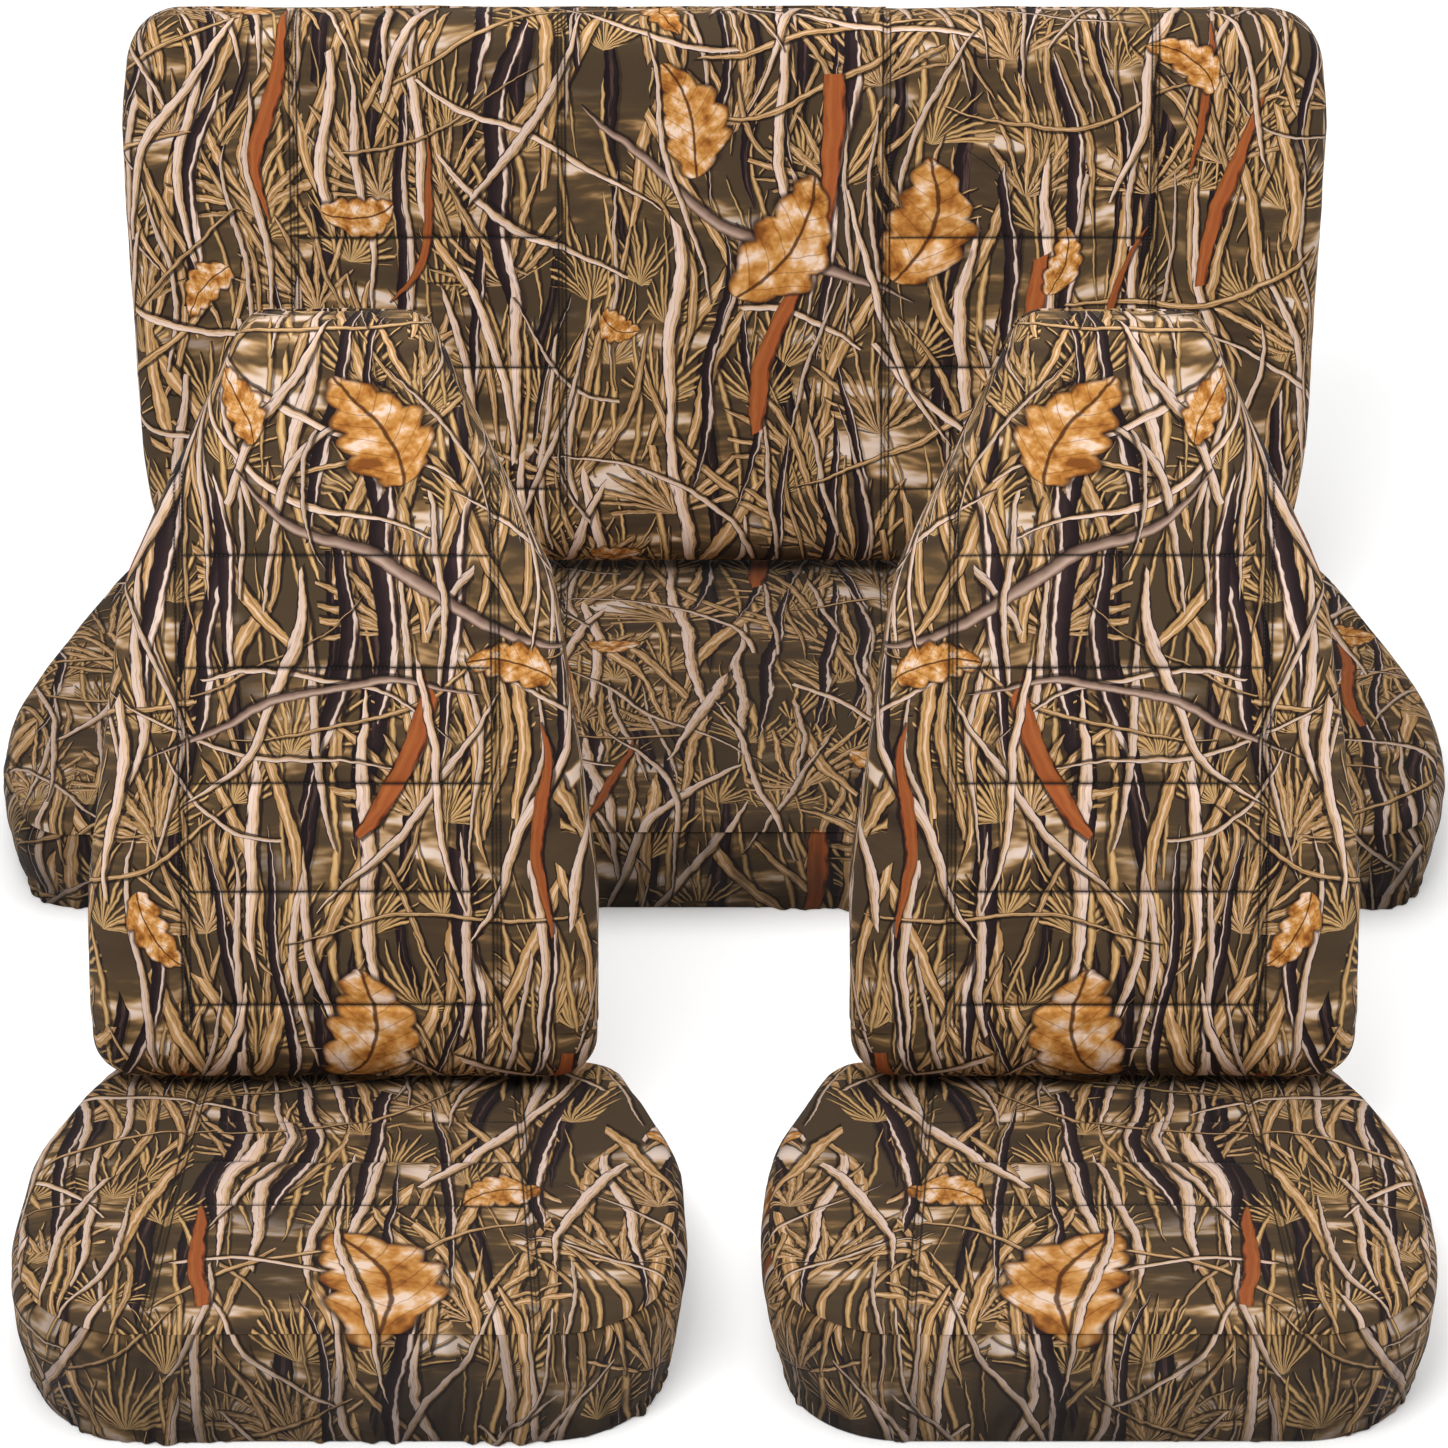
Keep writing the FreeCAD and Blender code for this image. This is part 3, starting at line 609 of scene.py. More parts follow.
    ring, ring_n, seam_p = evenly(ring), evenly(ring_n), evenly(seam_p)
    seam_h = lobe.point(seam_p[:, 0], seam_p[:, 1])[0]
    arc = np.where(fine > total + 1e-6, fine - 2 * total, fine)
    levels = np.concatenate([[0, 0.012, 0.03, 0.055, 0.085], np.linspace(0.12, 0.86, 26),
                             [0.89, 0.92, 0.95, 0.975, 0.99, 1]])
    count = len(ring)
    grid = np.zeros((len(levels) + 4, count, 3))
    cloth = np.zeros((len(levels) + 4, count, 3))
    for row, t in enumerate(levels):
        z = seam_h * (1 - t)
        ramp = np.clip((seam_h - z) / 22.0, 0, 1)
        out = -inset * (1 - np.sin(ramp * math.pi / 2)) + z * TAPER
        out += k["slack"] * np.sin(np.clip(t * 1.12, 0, 1) * math.pi) ** 1.2
        out -= dent(seam_h - z, 2.2, 3.0)
        grow = t ** 1.6
        for col in range(count):
            s = arc[col]
            gather = abs(noise.noise(Vector((s / 21 + offset, t * 0.9, k["seed"])))) * 1.9 - 0.45
            gather += abs(noise.noise(Vector((s / 11, t * 1.6, k["seed"] + 5)))) * 0.7 - 0.2
            drape = noise.noise(Vector((s / 70, t * 1.4 + 9, k["seed"] + offset))) * 0.9
            drape += noise.noise(Vector((s / 38 + t * 1.5, t * 2.4, k["seed"] + 7))) * 0.5
            swell = 5.5 * grow * gather + (1.0 + 4.0 * t) * drape
            casing = 0.0
            if z[col] < 15:
                pleat = noise.noise(Vector((s / 9, z[col] / 30, k["seed"] + 2)))
                roll = 1.1 * math.sin(math.pi * min(1.0, z[col] / 13))
                casing = 1.2 * pleat + roll - 1.8 * math.exp(-((z[col] - 14) / 1.6) ** 2)
            least = -0.3 - 0.25 * max(0.0, z[col] - 15)     # stays outside the elastic
            point = ring[col] + ring_n[col] * (out[col] + max(swell + casing, least))
            grid[row, col] = (point[0], point[1], z[col])
            # painted shade: darker towards the hem and in the gather valleys, over the cushion's even painted shade
            shade = min(0.85, k["shade"] + 0.06 + 0.42 * t + 0.4 * max(0.0, 0.1 - gather))
            cloth[row, col] = (s, k["start"] + 45 - (seam_h[col] - z[col]), shade)
    bottom = grid[len(levels) - 1]
    for extra, (back, z) in enumerate(((2.0, 0.0), (5.0, 0.3), (7.2, 3.0), (7.4, 13.0))):
        grid[len(levels) + extra, :, :2] = bottom[:, :2] - ring_n * back
        grid[len(levels) + extra, :, 2] = z
        cloth[len(levels) + extra] = cloth[len(levels) - 1] - [0, back + z, 0]
    grid[len(levels) - 1, :, 2] = 1.2
    close = np.concatenate([grid, grid[:, :1]], 1)
    cloth[:, arc < -1e-6, 0] = arc[arc < -1e-6]
    cloth_close = np.concatenate([cloth, cloth[:, :1]], 1)
    side_y = k["skirt_y"]
    front = close[5, :, 1] < side_y
    index = np.arange(close.shape[1])
    cut = int(np.argmax(~front))
    tail = int(len(front) - np.argmax(~front[::-1]) - 1)
    pieces = {"skirt_wrap": index[cut:tail + 1],
              "skirt_front": np.concatenate([index[tail:-1], index[:cut + 1]])}
    for name, cols in pieces.items():
        g, c = close[:, cols], cloth_close[:, cols].copy()
        if name == "skirt_wrap":
            neg = c[..., 0] < 0
            c[..., 0] = np.where(neg, c[..., 0] + 2 * total, c[..., 0])
        aim = np.concatenate([ring_n, ring_n[:1]])[cols]
        aim = np.tile(np.column_stack([aim, 0 * aim[:, 0]]), (len(g), 1))
        quads = facing(g.reshape(-1, 3), grid_quads(*g.shape[:2]), aim)
        verts, uv, faces = weld(g.reshape(-1, 3), c.reshape(-1, 3), quads)
        shade, uv = uv[:, 2], uv[:, :2] * [flip, 1] + shift_uv
        obj = build_piece(f"{tag}_{name}_cloth", tag, [f"{tag}_{name}"], verts, uv, faces, place, SKIRT_GAUGE, shade)
        cut_sheet(verts, uv, faces)


def project(pieces, place, points, toward):
    """Points laid on the cloth of some pieces along a direction, all in the cover's own mm."""
    depsgraph = bpy.context.evaluated_depsgraph_get()
    trees = [BVHTree.FromObject(obj, depsgraph) for obj in pieces]
    way = Vector(np.diff(place(np.array([[0, 0, 0], toward], float)), axis=0)[0]).normalized()
    line = []
    for spot in place(points):
        start = Vector(spot) - way * 0.2
        hits = [hit for hit in (tree.ray_cast(start, way, 0.32) for tree in trees) if hit[0] is not None]
        if hits:
            hit = min(hits, key=lambda h: h[3])
            line.append(hit[0] + hit[1] * THREAD_LIFT)
    return line


def stitch_tree():
    """Geometry Nodes: one grain of thread after another along every edge of the mesh."""
    tree = bpy.data.node_groups.new("stitch_rows", "GeometryNodeTree")
    tree.interface.new_socket("Rows", in_out="INPUT", socket_type="NodeSocketGeometry")
    for label, value in (("Pitch", 0.0036), ("Stitch Length", 0.0028), ("Thread Radius", 0.00068)):
        tree.interface.new_socket(label, in_out="INPUT", socket_type="NodeSocketFloat").default_value = value
    tree.interface.new_socket("Thread", in_out="INPUT", socket_type="NodeSocketMaterial")
    tree.interface.new_socket("Stitches", in_out="OUTPUT", socket_type="NodeSocketGeometry")
    t = Tree(tree)
    given = tree.nodes.new("NodeGroupInput").outputs
    curve = t.add("GeometryNodeMeshToCurve", {"Mesh": given["Rows"]}).outputs[0]
    spaced = t.add("GeometryNodeResampleCurve", {"Curve": curve, "Length": given["Pitch"]}, mode="LENGTH").outputs[0]
    tangent = t.add("GeometryNodeInputTangent").outputs[0]
    turn = t.add("FunctionNodeAlignRotationToVector", {"Vector": tangent}, axis="Z").outputs[0]
    grain = t.add("GeometryNodeMeshIcoSphere", {"Radius": 1.0, "Subdivisions": 1}).outputs[0]
    half = t.math("MULTIPLY", given["Stitch Length"], 0.5)
    size = t.join(given["Thread Radius"], given["Thread Radius"], half)
    grains = t.add("GeometryNodeInstanceOnPoints", {"Points": spaced, "Instance": grain, "Rotation": turn,
                                                    "Scale": size}).outputs[0]
    real = t.add("GeometryNodeRealizeInstances", {"Geometry": grains}).outputs[0]
    done = t.add("GeometryNodeSetMaterial", {"Geometry": real, "Material": given["Thread"]}).outputs[0]
    tree.links.new(done, tree.nodes.new("NodeGroupOutput").inputs[0])
    return tree


def sew(name, body, lines):
    """All stitches of one cover as one piece."""
    points, edges = [], []
    for line in lines:
        edges += [(len(points) + k, len(points) + k + 1) for k in range(len(line) - 1)]
        points += line
    mesh = bpy.data.meshes.new(name)
    mesh.from_pydata(points, edges, [])
    obj = link(name, mesh)
    rows = obj.modifiers.new("stitches", "NODES")
    rows.node_group = STITCH_TREE
    for item in STITCH_TREE.interface.items_tree:
        if item.in_out == "INPUT" and item.name == "Thread":
            rows[item.identifier] = THREAD
    baked(obj)
    wear(obj, body)


def closure_flap(tag, body, offset, pivot, half_w, flip):
    """Curved strip about the axis of a back."""
    start, sweep, gauge, radius = -45, 43, 3.8, FLAP_RADIUS
    angle = np.radians(start + np.linspace(0, sweep, 16))
    x = np.linspace(-half_w, half_w, 60)
    grid = np.stack([np.repeat(x[None], len(angle), 0), np.repeat((radius * np.cos(angle))[:, None], len(x), 1),
                     np.repeat((radius * np.sin(angle))[:, None], len(x), 1)], 2)
    cloth = np.stack([grid[..., 0] + 900, np.repeat((radius * angle)[:, None], len(x), 1)], 2).reshape(-1, 2)
    verts = grid.reshape(-1, 3)
    aim = verts * [0, 1, 1]
    verts, uv, faces = weld(verts, cloth, facing(verts, grid_quads(*grid.shape[:2]), aim))
    uv = uv * [flip, 1]
    name = f"{tag}_back_closure_flap"
    obj = build_piece(f"{name}_cloth", body, [name], verts, uv, faces, back_place(offset, pivot), gauge)
    cut_sheet(verts, uv, faces)


def fold_bar(name, body, offset, pivot, half_w, flip):
    """Folded and stitched hem along the foot of a rear panel."""
    y0, y1, z0, z1, r = BACK_DEPTH, FLAP_RADIUS, 0.5, 14.0, 3.0
    ring = []
    for cy, cz, a0 in ((y1 - r, z0 + r, -90), (y1 - r, z1 - r, 0), (y0 + r, z1 - r, 90), (y0 + r, z0 + r, 180)):
        ring += [(cy + r * math.cos(math.radians(a0 + q)), cz + r * math.sin(math.radians(a0 + q)))
                 for q in (0, 30, 60, 90)]
    ring = np.array(ring + ring[:1])
    x = np.linspace(-half_w, half_w, 80)
    grid = np.zeros((len(x), len(ring), 3))
    grid[..., 0] = x[:, None]
    grid[..., 1] = ring[:, 0]
    grid[..., 2] = ring[:, 1]
    length = np.concatenate([[0], np.cumsum(np.linalg.norm(np.diff(ring, axis=0), axis=1))])
    cloth = np.stack([grid[..., 0] + 900, np.repeat(length[None], len(x), 0)], 2).reshape(-1, 2)
    verts = grid.reshape(-1, 3)
    aim = verts - [0, (y0 + y1) / 2, (z0 + z1) / 2]
    aim[:, 0] = 0
    mesh_verts, uv, faces = weld(verts, cloth, facing(verts, grid_quads(len(x), len(ring)), aim))
    mesh = cloth_mesh(name, back_place(offset, pivot)(mesh_verts), uv * [flip, 1], faces)
    bm = bmesh.new()
    bm.from_mesh(mesh)
    bmesh.ops.holes_fill(bm, edges=[e for e in bm.edges if e.is_boundary], sides=0)
    bm.to_mesh(mesh)
    bm.free()
    mesh.materials.append(CLOTH[0])
    mesh.shade_smooth()
    wear(link(name, mesh), body)


# ------------------------------------------------------------------ materials


def hex_rgb(code, alpha=1.0):
    """sRGB hex to linear RGBA."""
    rgb = [int(code[i:i + 2], 16) / 255 for i in (0, 2, 4)]
    return [c / 12.92 if c <= 0.04045 else ((c + 0.055) / 1.055) ** 2.4 for c in rgb] + [alpha]


def simple(name, code, rough):
    mat = bpy.data.materials.new(name)
    mat.use_nodes = True
    shader = mat.node_tree.nodes["Principled BSDF"]
    shader.inputs["Base Color"].default_value = hex_rgb(code)
    shader.inputs["Roughness"].default_value = rough
    return mat


class Tree:
    """Short way to add nodes to a tree: add() makes one and returns it."""

    def __init__(self, tree):
        self.tree = tree

    def add(self, kind, inputs=(), **settings):
        """One node; inputs are values or sockets by index or name."""
        node = self.tree.nodes.new(kind)
        for key, value in settings.items():
            setattr(node, key, value)
        pairs = inputs.items() if isinstance(inputs, dict) else enumerate(inputs)
        for key, value in pairs:
            if isinstance(value, bpy.types.NodeSocket):
                self.tree.links.new(value, node.inputs[key])
            elif value is not None:
                node.inputs[key].default_value = value
        return node

    def math(self, operation, *values, clamp=False):
        return self.add("ShaderNodeMath", values, operation=operation, use_clamp=clamp).outputs[0]

    def vector(self, operation, *values):
        out = self.add("ShaderNodeVectorMath", values, operation=operation)
        return out.outputs["Value"] if operation in ("LENGTH", "DOT_PRODUCT") else out.outputs[0]

    def scale(self, vector, factor):
        return self.add("ShaderNodeVectorMath", {"Vector": vector, "Scale": factor}, operation="SCALE").outputs[0]

    def rotate(self, vector, angle):
        return self.add("ShaderNodeVectorRotate", {"Vector": vector, "Angle": angle},
                        rotation_type="Z_AXIS").outputs[0]

    def split(self, vector):
        return self.add("ShaderNodeSeparateXYZ", [vector]).outputs

    def join(self, x, y, z=0.0):
        return self.add("ShaderNodeCombineXYZ", [x, y, z]).outputs[0]

    def range(self, value, low, high, to_low=0.0, to_high=1.0, smooth=True):
        return self.add("ShaderNodeMapRange", [value, low, high, to_low, to_high],
                        interpolation_type="SMOOTHSTEP" if smooth else "LINEAR").outputs[0]

    def mix(self, factor, first, second, blend="MIX"):
        node = self.add("ShaderNodeMix", data_type="RGBA", blend_type=blend)
        for socket, value in zip((node.inputs[0], node.inputs[6], node.inputs[7]), (factor, first, second)):
            if isinstance(value, bpy.types.NodeSocket):
                self.tree.links.new(value, socket)
            else:
                socket.default_value = value
        return node.outputs[2]

    def ramp(self, value, stops, interpolation="LINEAR"):
        node = self.add("ShaderNodeValToRGB", [value])
        ramp = node.color_ramp
        ramp.interpolation = interpolation
        while len(ramp.elements) < len(stops):
            ramp.elements.new(0.5)
        for element, (place, code) in zip(ramp.elements, stops):
            element.position = place
            element.color = hex_rgb(code)
        return node.outputs[0]

    def noise(self, vector, scale, detail=2.0, rough=0.5, out="Fac"):
        inputs = {"Vector": vector, "Scale": scale, "Detail": detail, "Roughness": rough}
        return self.add("ShaderNodeTexNoise", inputs, noise_dimensions="2D").outputs[out]


def group(name, inputs, outputs):
    """Empty node group with float, vector or colour sockets."""
    kinds = {"f": "NodeSocketFloat", "v": "NodeSocketVector", "c": "NodeSocketColor"}
    tree = bpy.data.node_groups.new(name, "ShaderNodeTree")
    for label, kind in inputs:
        tree.interface.new_socket(label, in_out="INPUT", socket_type=kinds[kind])
    for label, kind in outputs:
        tree.interface.new_socket(label, in_out="OUTPUT", socket_type=kinds[kind])
    return tree, Tree(tree), tree.nodes.new("NodeGroupInput").outputs, tree.nodes.new("NodeGroupOutput").inputs


def blade_outline(t, across_mm, along, width):
    """Mask, soft shadow and across position of a tapering blade; along runs from -1 to 1."""
    left = t.math("SUBTRACT", 1.0, t.math("MULTIPLY", along, along))
    taper = t.math("POWER", t.math("MAXIMUM", left, 0.0001), 0.85)
    w = t.math("MULTIPLY", width, taper)
    ratio = t.math("DIVIDE", across_mm, w)
    side = t.math("ABSOLUTE", ratio)
    inside = t.math("LESS_THAN", t.math("ABSOLUTE", along), 1.0)
    mask = t.math("MULTIPLY", t.range(side, 0.92, 1.0, 1.0, 0.0), inside)
    beyond = t.math("SUBTRACT", t.math("ABSOLUTE", t.math("SUBTRACT", across_mm, 1.0)), w)
    shade = t.math("MULTIPLY", t.range(beyond, 0.3, 1.9, 1.0, 0.0), inside)
    return mask, shade, ratio


def reed_group():
    """Long single blades, one in each stretched cell."""
    tree, t, i, o = group("reeds", [("Vector", "v"), ("Angle", "f"), ("Cell Width", "f"), ("Cell Length", "f"),
                                     ("Blade Width", "f"), ("Bend", "f"), ("Spread", "f"), ("Keep", "f"),
                                     ("Seed", "f")],
                          [("Mask", "f"), ("Shadow", "f"), ("Across", "f"), ("Along", "f"), ("Random", "c")])
    cell = t.join(i["Cell Width"], i["Cell Length"], 1.0)
    p = t.scale(i["Vector"], 1000.0)
    p = t.vector("DIVIDE", t.rotate(p, i["Angle"]), cell)
    p = t.vector("ADD", p, t.join(t.math("MULTIPLY", i["Seed"], 17.31), t.math("MULTIPLY", i["Seed"], 9.77)))
    dots = t.add("ShaderNodeTexVoronoi", {"Vector": p, "Scale": 1.0, "Randomness": 1.0}, voronoi_dimensions="2D")
    local = t.vector("MULTIPLY", t.vector("SUBTRACT", p, dots.outputs["Position"]), cell)
    r = t.split(dots.outputs["Color"])
    turn = t.math("MULTIPLY", t.math("SUBTRACT", r[0], 0.5), t.math("MULTIPLY", i["Spread"], 2.0))
    x, y, _ = t.split(t.rotate(local, turn))
    along = t.math("DIVIDE", y, t.math("MULTIPLY", i["Cell Length"], t.math("MULTIPLY_ADD", r[1], 0.35, 0.4)))
    sway = t.math("MULTIPLY", t.math("MULTIPLY", t.math("SUBTRACT", r[2], 0.5), i["Bend"]),
                  t.math("MULTIPLY", along, along))
    width = t.math("MULTIPLY", i["Blade Width"], t.math("MULTIPLY_ADD", r[1], 0.9, 0.35))
    mask, shade, ratio = blade_outline(t, t.math("SUBTRACT", x, sway), along, width)
    keep = t.math("LESS_THAN", t.math("FRACT", t.math("MULTIPLY", r[2], 7.13)), i["Keep"])
    for label, value in (("Mask", t.math("MULTIPLY", mask, keep)), ("Shadow", t.math("MULTIPLY", shade, keep)),
                         ("Across", ratio), ("Along", along), ("Random", dots.outputs["Color"])):
        tree.links.new(value, o[label])
    return tree


def tuft_group():
    """Fans of pointed blades that spring from the foot of each cell."""
    tree, t, i, o = group("tufts", [("Vector", "v"), ("Cell Width", "f"), ("Cell Length", "f"), ("Blade Width", "f"),
                                     ("Step", "f"), ("Fan", "f"), ("Keep", "f"), ("Seed", "f"), ("Angle", "f")],
                          [("Mask", "f"), ("Shadow", "f"), ("Across", "f"), ("Along", "f"), ("Random", "c")])
    cell = t.join(i["Cell Width"], i["Cell Length"], 1.0)
    p = t.scale(i["Vector"], 1000.0)
    p = t.vector("DIVIDE", t.rotate(p, i["Angle"]), cell)
    p = t.vector("ADD", p, t.join(t.math("MULTIPLY", i["Seed"], 5.13), t.math("MULTIPLY", i["Seed"], 11.9)))
    dots = t.add("ShaderNodeTexVoronoi", {"Vector": p, "Scale": 1.0, "Randomness": 0.9}, voronoi_dimensions="2D")
    local = t.vector("MULTIPLY", t.vector("SUBTRACT", p, dots.outputs["Position"]), cell)
    r = t.split(dots.outputs["Color"])
    x, y, _ = t.split(local)
    y = t.math("ADD", y, t.math("MULTIPLY", i["Cell Length"], 0.42))
    far = t.vector("LENGTH", t.join(x, y))
    theta = t.math("ARCTAN2", x, y)
    theta = t.math("ADD", theta, t.math("MULTIPLY", t.math("SUBTRACT", r[0], 0.5),
                                        t.math("DIVIDE", far, t.math("MULTIPLY", i["Cell Length"], 2.2))))
    index = t.math("ROUND", t.math("DIVIDE", theta, i["Step"]))
    white = t.add("ShaderNodeTexWhiteNoise", {"Vector": t.join(index, r[1], r[2])}, noise_dimensions="3D")
    q = t.split(white.outputs["Color"])
    off = t.math("SUBTRACT", theta, t.math("MULTIPLY", index, i["Step"]))
    off = t.math("ADD", off, t.math("MULTIPLY", t.math("SUBTRACT", q[0], 0.5), t.math("MULTIPLY", i["Step"], 0.5)))
    length = t.math("MULTIPLY", i["Cell Length"], t.math("MULTIPLY_ADD", q[1], 0.55, 0.45))
    along = t.math("SUBTRACT", t.math("DIVIDE", t.math("MULTIPLY", far, 2.0), length), 1.0)
    mask, shade, ratio = blade_outline(t, t.math("MULTIPLY", off, far), along,
                                       t.math("MULTIPLY", i["Blade Width"], t.math("MULTIPLY_ADD", q[2], 0.7, 0.4)))
    fan = t.math("LESS_THAN", t.math("ABSOLUTE", theta), i["Fan"])
    keep = t.math("MULTIPLY", fan, t.math("LESS_THAN", r[2], i["Keep"]))
    for label, value in (("Mask", t.math("MULTIPLY", mask, keep)), ("Shadow", t.math("MULTIPLY", shade, keep)),
                         ("Across", ratio), ("Along", along), ("Random", white.outputs["Color"])):
        tree.links.new(value, o[label])
    return tree


def placed(t, vector, x, y, angle):
    """Local mm coordinates about a place on the cloth, given in mm and degrees."""
    p = t.scale(vector, 1000.0)
    p = t.vector("SUBTRACT", p, (x, y, 0))
    return t.split(t.rotate(p, math.radians(-angle)))


def leaf_group():
    """Broad lobed leaf: mask, shadow and colour from local coordinates over its half length."""
    tree, t, i, o = group("oak_leaf", [("X", "f"), ("Y", "f"), ("Length", "f"), ("Seed", "f")],
                          [("Mask", "f"), ("Shadow", "f"), ("Color", "c")])
    x = t.math("DIVIDE", i["X"], i["Length"])
    y = t.math("DIVIDE", i["Y"], i["Length"])
    p = t.join(x, y)
    wob = t.noise(t.vector("ADD", p, t.join(i["Seed"], 0.0)), 2.2, 2.0)
    x = t.math("ADD", x, t.math("MULTIPLY", t.math("SUBTRACT", t.math("MULTIPLY", y, y), 0.2), 0.28))
    inner = t.math("MAXIMUM", t.math("SUBTRACT", 1.0, t.math("MULTIPLY", y, y)), 0.0)
    half = t.math("MULTIPLY", t.math("POWER", inner, 0.55), t.math("MULTIPLY_ADD", y, -0.16, 0.56))
    side = t.math("ABSOLUTE", x)
    lobes = t.math("ABSOLUTE", t.math("SINE", t.math("MULTIPLY_ADD", side, -3.0, t.math("MULTIPLY", y, 7.2))))
    half = t.math("MULTIPLY", half, t.math("MULTIPLY_ADD", lobes, 0.24, 0.78))
    half = t.math("ADD", half, t.math("MULTIPLY", t.math("SUBTRACT", wob, 0.5), 0.16))
    inside = t.math("LESS_THAN", t.math("ABSOLUTE", y), 1.0)
    edge = t.math("SUBTRACT", half, side)
    mask = t.math("MULTIPLY", t.range(edge, -0.01, 0.02), inside)
    shade = t.math("MULTIPLY", t.range(edge, -0.1, 0.0), inside)
    body = t.noise(t.vector("ADD", p, t.join(i["Seed"], 3.0)), 2.6, 3.0, 0.6)
    base = t.ramp(body, [(0.28, "84501f"), (0.4, "b47a35"), (0.5, "cc9850"), (0.58, "dfb57e"), (0.68, "f0dcc4")])
    slant = t.math("SUBTRACT", y, t.math("MULTIPLY", side, 0.9))
    vein = t.math("ABSOLUTE", t.math("SINE", t.math("MULTIPLY", slant, 11.0)))
    base = t.mix(t.math("MULTIPLY", t.range(vein, 0.0, 0.2, 1.0, 0.0), 0.55), base, hex_rgb("693511"))
    base = t.mix(t.range(side, 0.012, 0.035, 0.9, 0.0), base, hex_rgb("492410"))
    base = t.mix(t.range(edge, 0.0, 0.09, 0.85, 0.0), base, hex_rgb("592e13"))
    for label, value in (("Mask", mask), ("Shadow", shade), ("Color", base)):
        tree.links.new(value, o[label])
    return tree


STRAW = [(0.0, "1c1413"), (0.1, "2a1f1a"), (0.15, "b08c58"), (0.34, "bd9a66"), (0.38, "dcc6ac"), (0.48, "d4b78a"),
         (0.52, "b8935e"), (0.66, "8a6c46"), (0.7, "c0a06c"), (0.88, "a5824e"), (0.94, "3a2a1e"), (1.0, "1c1413")]
THIN = [(0.0, "2a1e18"), (0.2, "a5824c"), (0.45, "d2b680"), (0.62, "c3a36c"), (0.85, "8f6f42"), (1.0, "1e1614")]
CREAM = [(0.0, "1d1618"), (0.1, "2c2022"), (0.14, "d8c4b2"), (0.4, "e2d2c2"), (0.44, "b79c7e"), (0.5, "dcc8b4"),
         (0.68, "d0b48c"), (0.74, "87694a"), (0.8, "c4a476"), (0.92, "3a2a20"), (1.0, "1d1416")]
DARK = [(0.0, "171013"), (0.42, "261b1d"), (0.5, "54423a"), (0.56, "2d2223"), (1.0, "140e10")]
STEM = [(0.0, "171013"), (0.34, "271c1e"), (0.6, "382b29"), (0.64, "d8c8ba"), (0.74, "e0d0c0"), (0.8, "a58c70"),
        (0.86, "3a2c28"), (1.0, "1c1416")]
RUST = [(0.0, "3c1d10"), (0.08, "8c4c24"), (0.3, "a86434"), (0.55, "98542a"), (0.8, "a45c30"), (0.93, "6e371c"),
        (1.0, "2e180e")]
BARK = [(0.0, "3a2c24"), (0.1, "7c6656"), (0.3, "bda896"), (0.48, "a58f7e"), (0.6, "8d7868"), (0.8, "6b574a"),
        (0.92, "3c2e26"), (1.0, "241a16")]


def textile(name, dark, light, pitch, rough, depth):
    """Woven, knitted or grained surface; pitch is mm across and along, depth the strength of its relief."""
    mat = bpy.data.materials.new(name)
    mat.use_nodes = True
    t = Tree(mat.node_tree)
    shader = mat.node_tree.nodes["Principled BSDF"]
    place = t.add("ShaderNodeTexCoord").outputs["Object"]
    x, y, z = t.split(place)
    across = t.math("SINE", t.math("MULTIPLY", t.math("ADD", x, z), math.tau * 1000 / pitch[0]))
    along = t.math("SINE", t.math("MULTIPLY", t.math("ADD", y, z), math.tau * 1000 / pitch[1]))
    weave = t.math("MULTIPLY", across, along)
    cloud = t.add("ShaderNodeTexNoise", {"Vector": place, "Scale": 60.0, "Detail": 4.0}).outputs["Fac"]
    height = t.math("MULTIPLY_ADD", weave, 0.35, cloud)
    mat.node_tree.links.new(t.mix(t.range(height, 0.2, 0.9), hex_rgb(dark), hex_rgb(light)),
                            shader.inputs["Base Color"])
    bump = t.add("ShaderNodeBump", {"Strength": depth, "Distance": 0.0004, "Height": height})
    mat.node_tree.links.new(bump.outputs[0], shader.inputs["Normal"])
    mat.node_tree.links.new(t.range(cloud, 0.3, 0.7, rough - 0.06, min(1.0, rough + 0.05)),
                            shader.inputs["Roughness"])
    shader.inputs["Specular IOR Level"].default_value = 0.3
    return mat


SHADOW = hex_rgb("1c1312")
LEAF_CELL = 235.0       # mm, spacing of the scattered leaves
TWILL_PITCH = 0.9       # mm, one rib of the twill


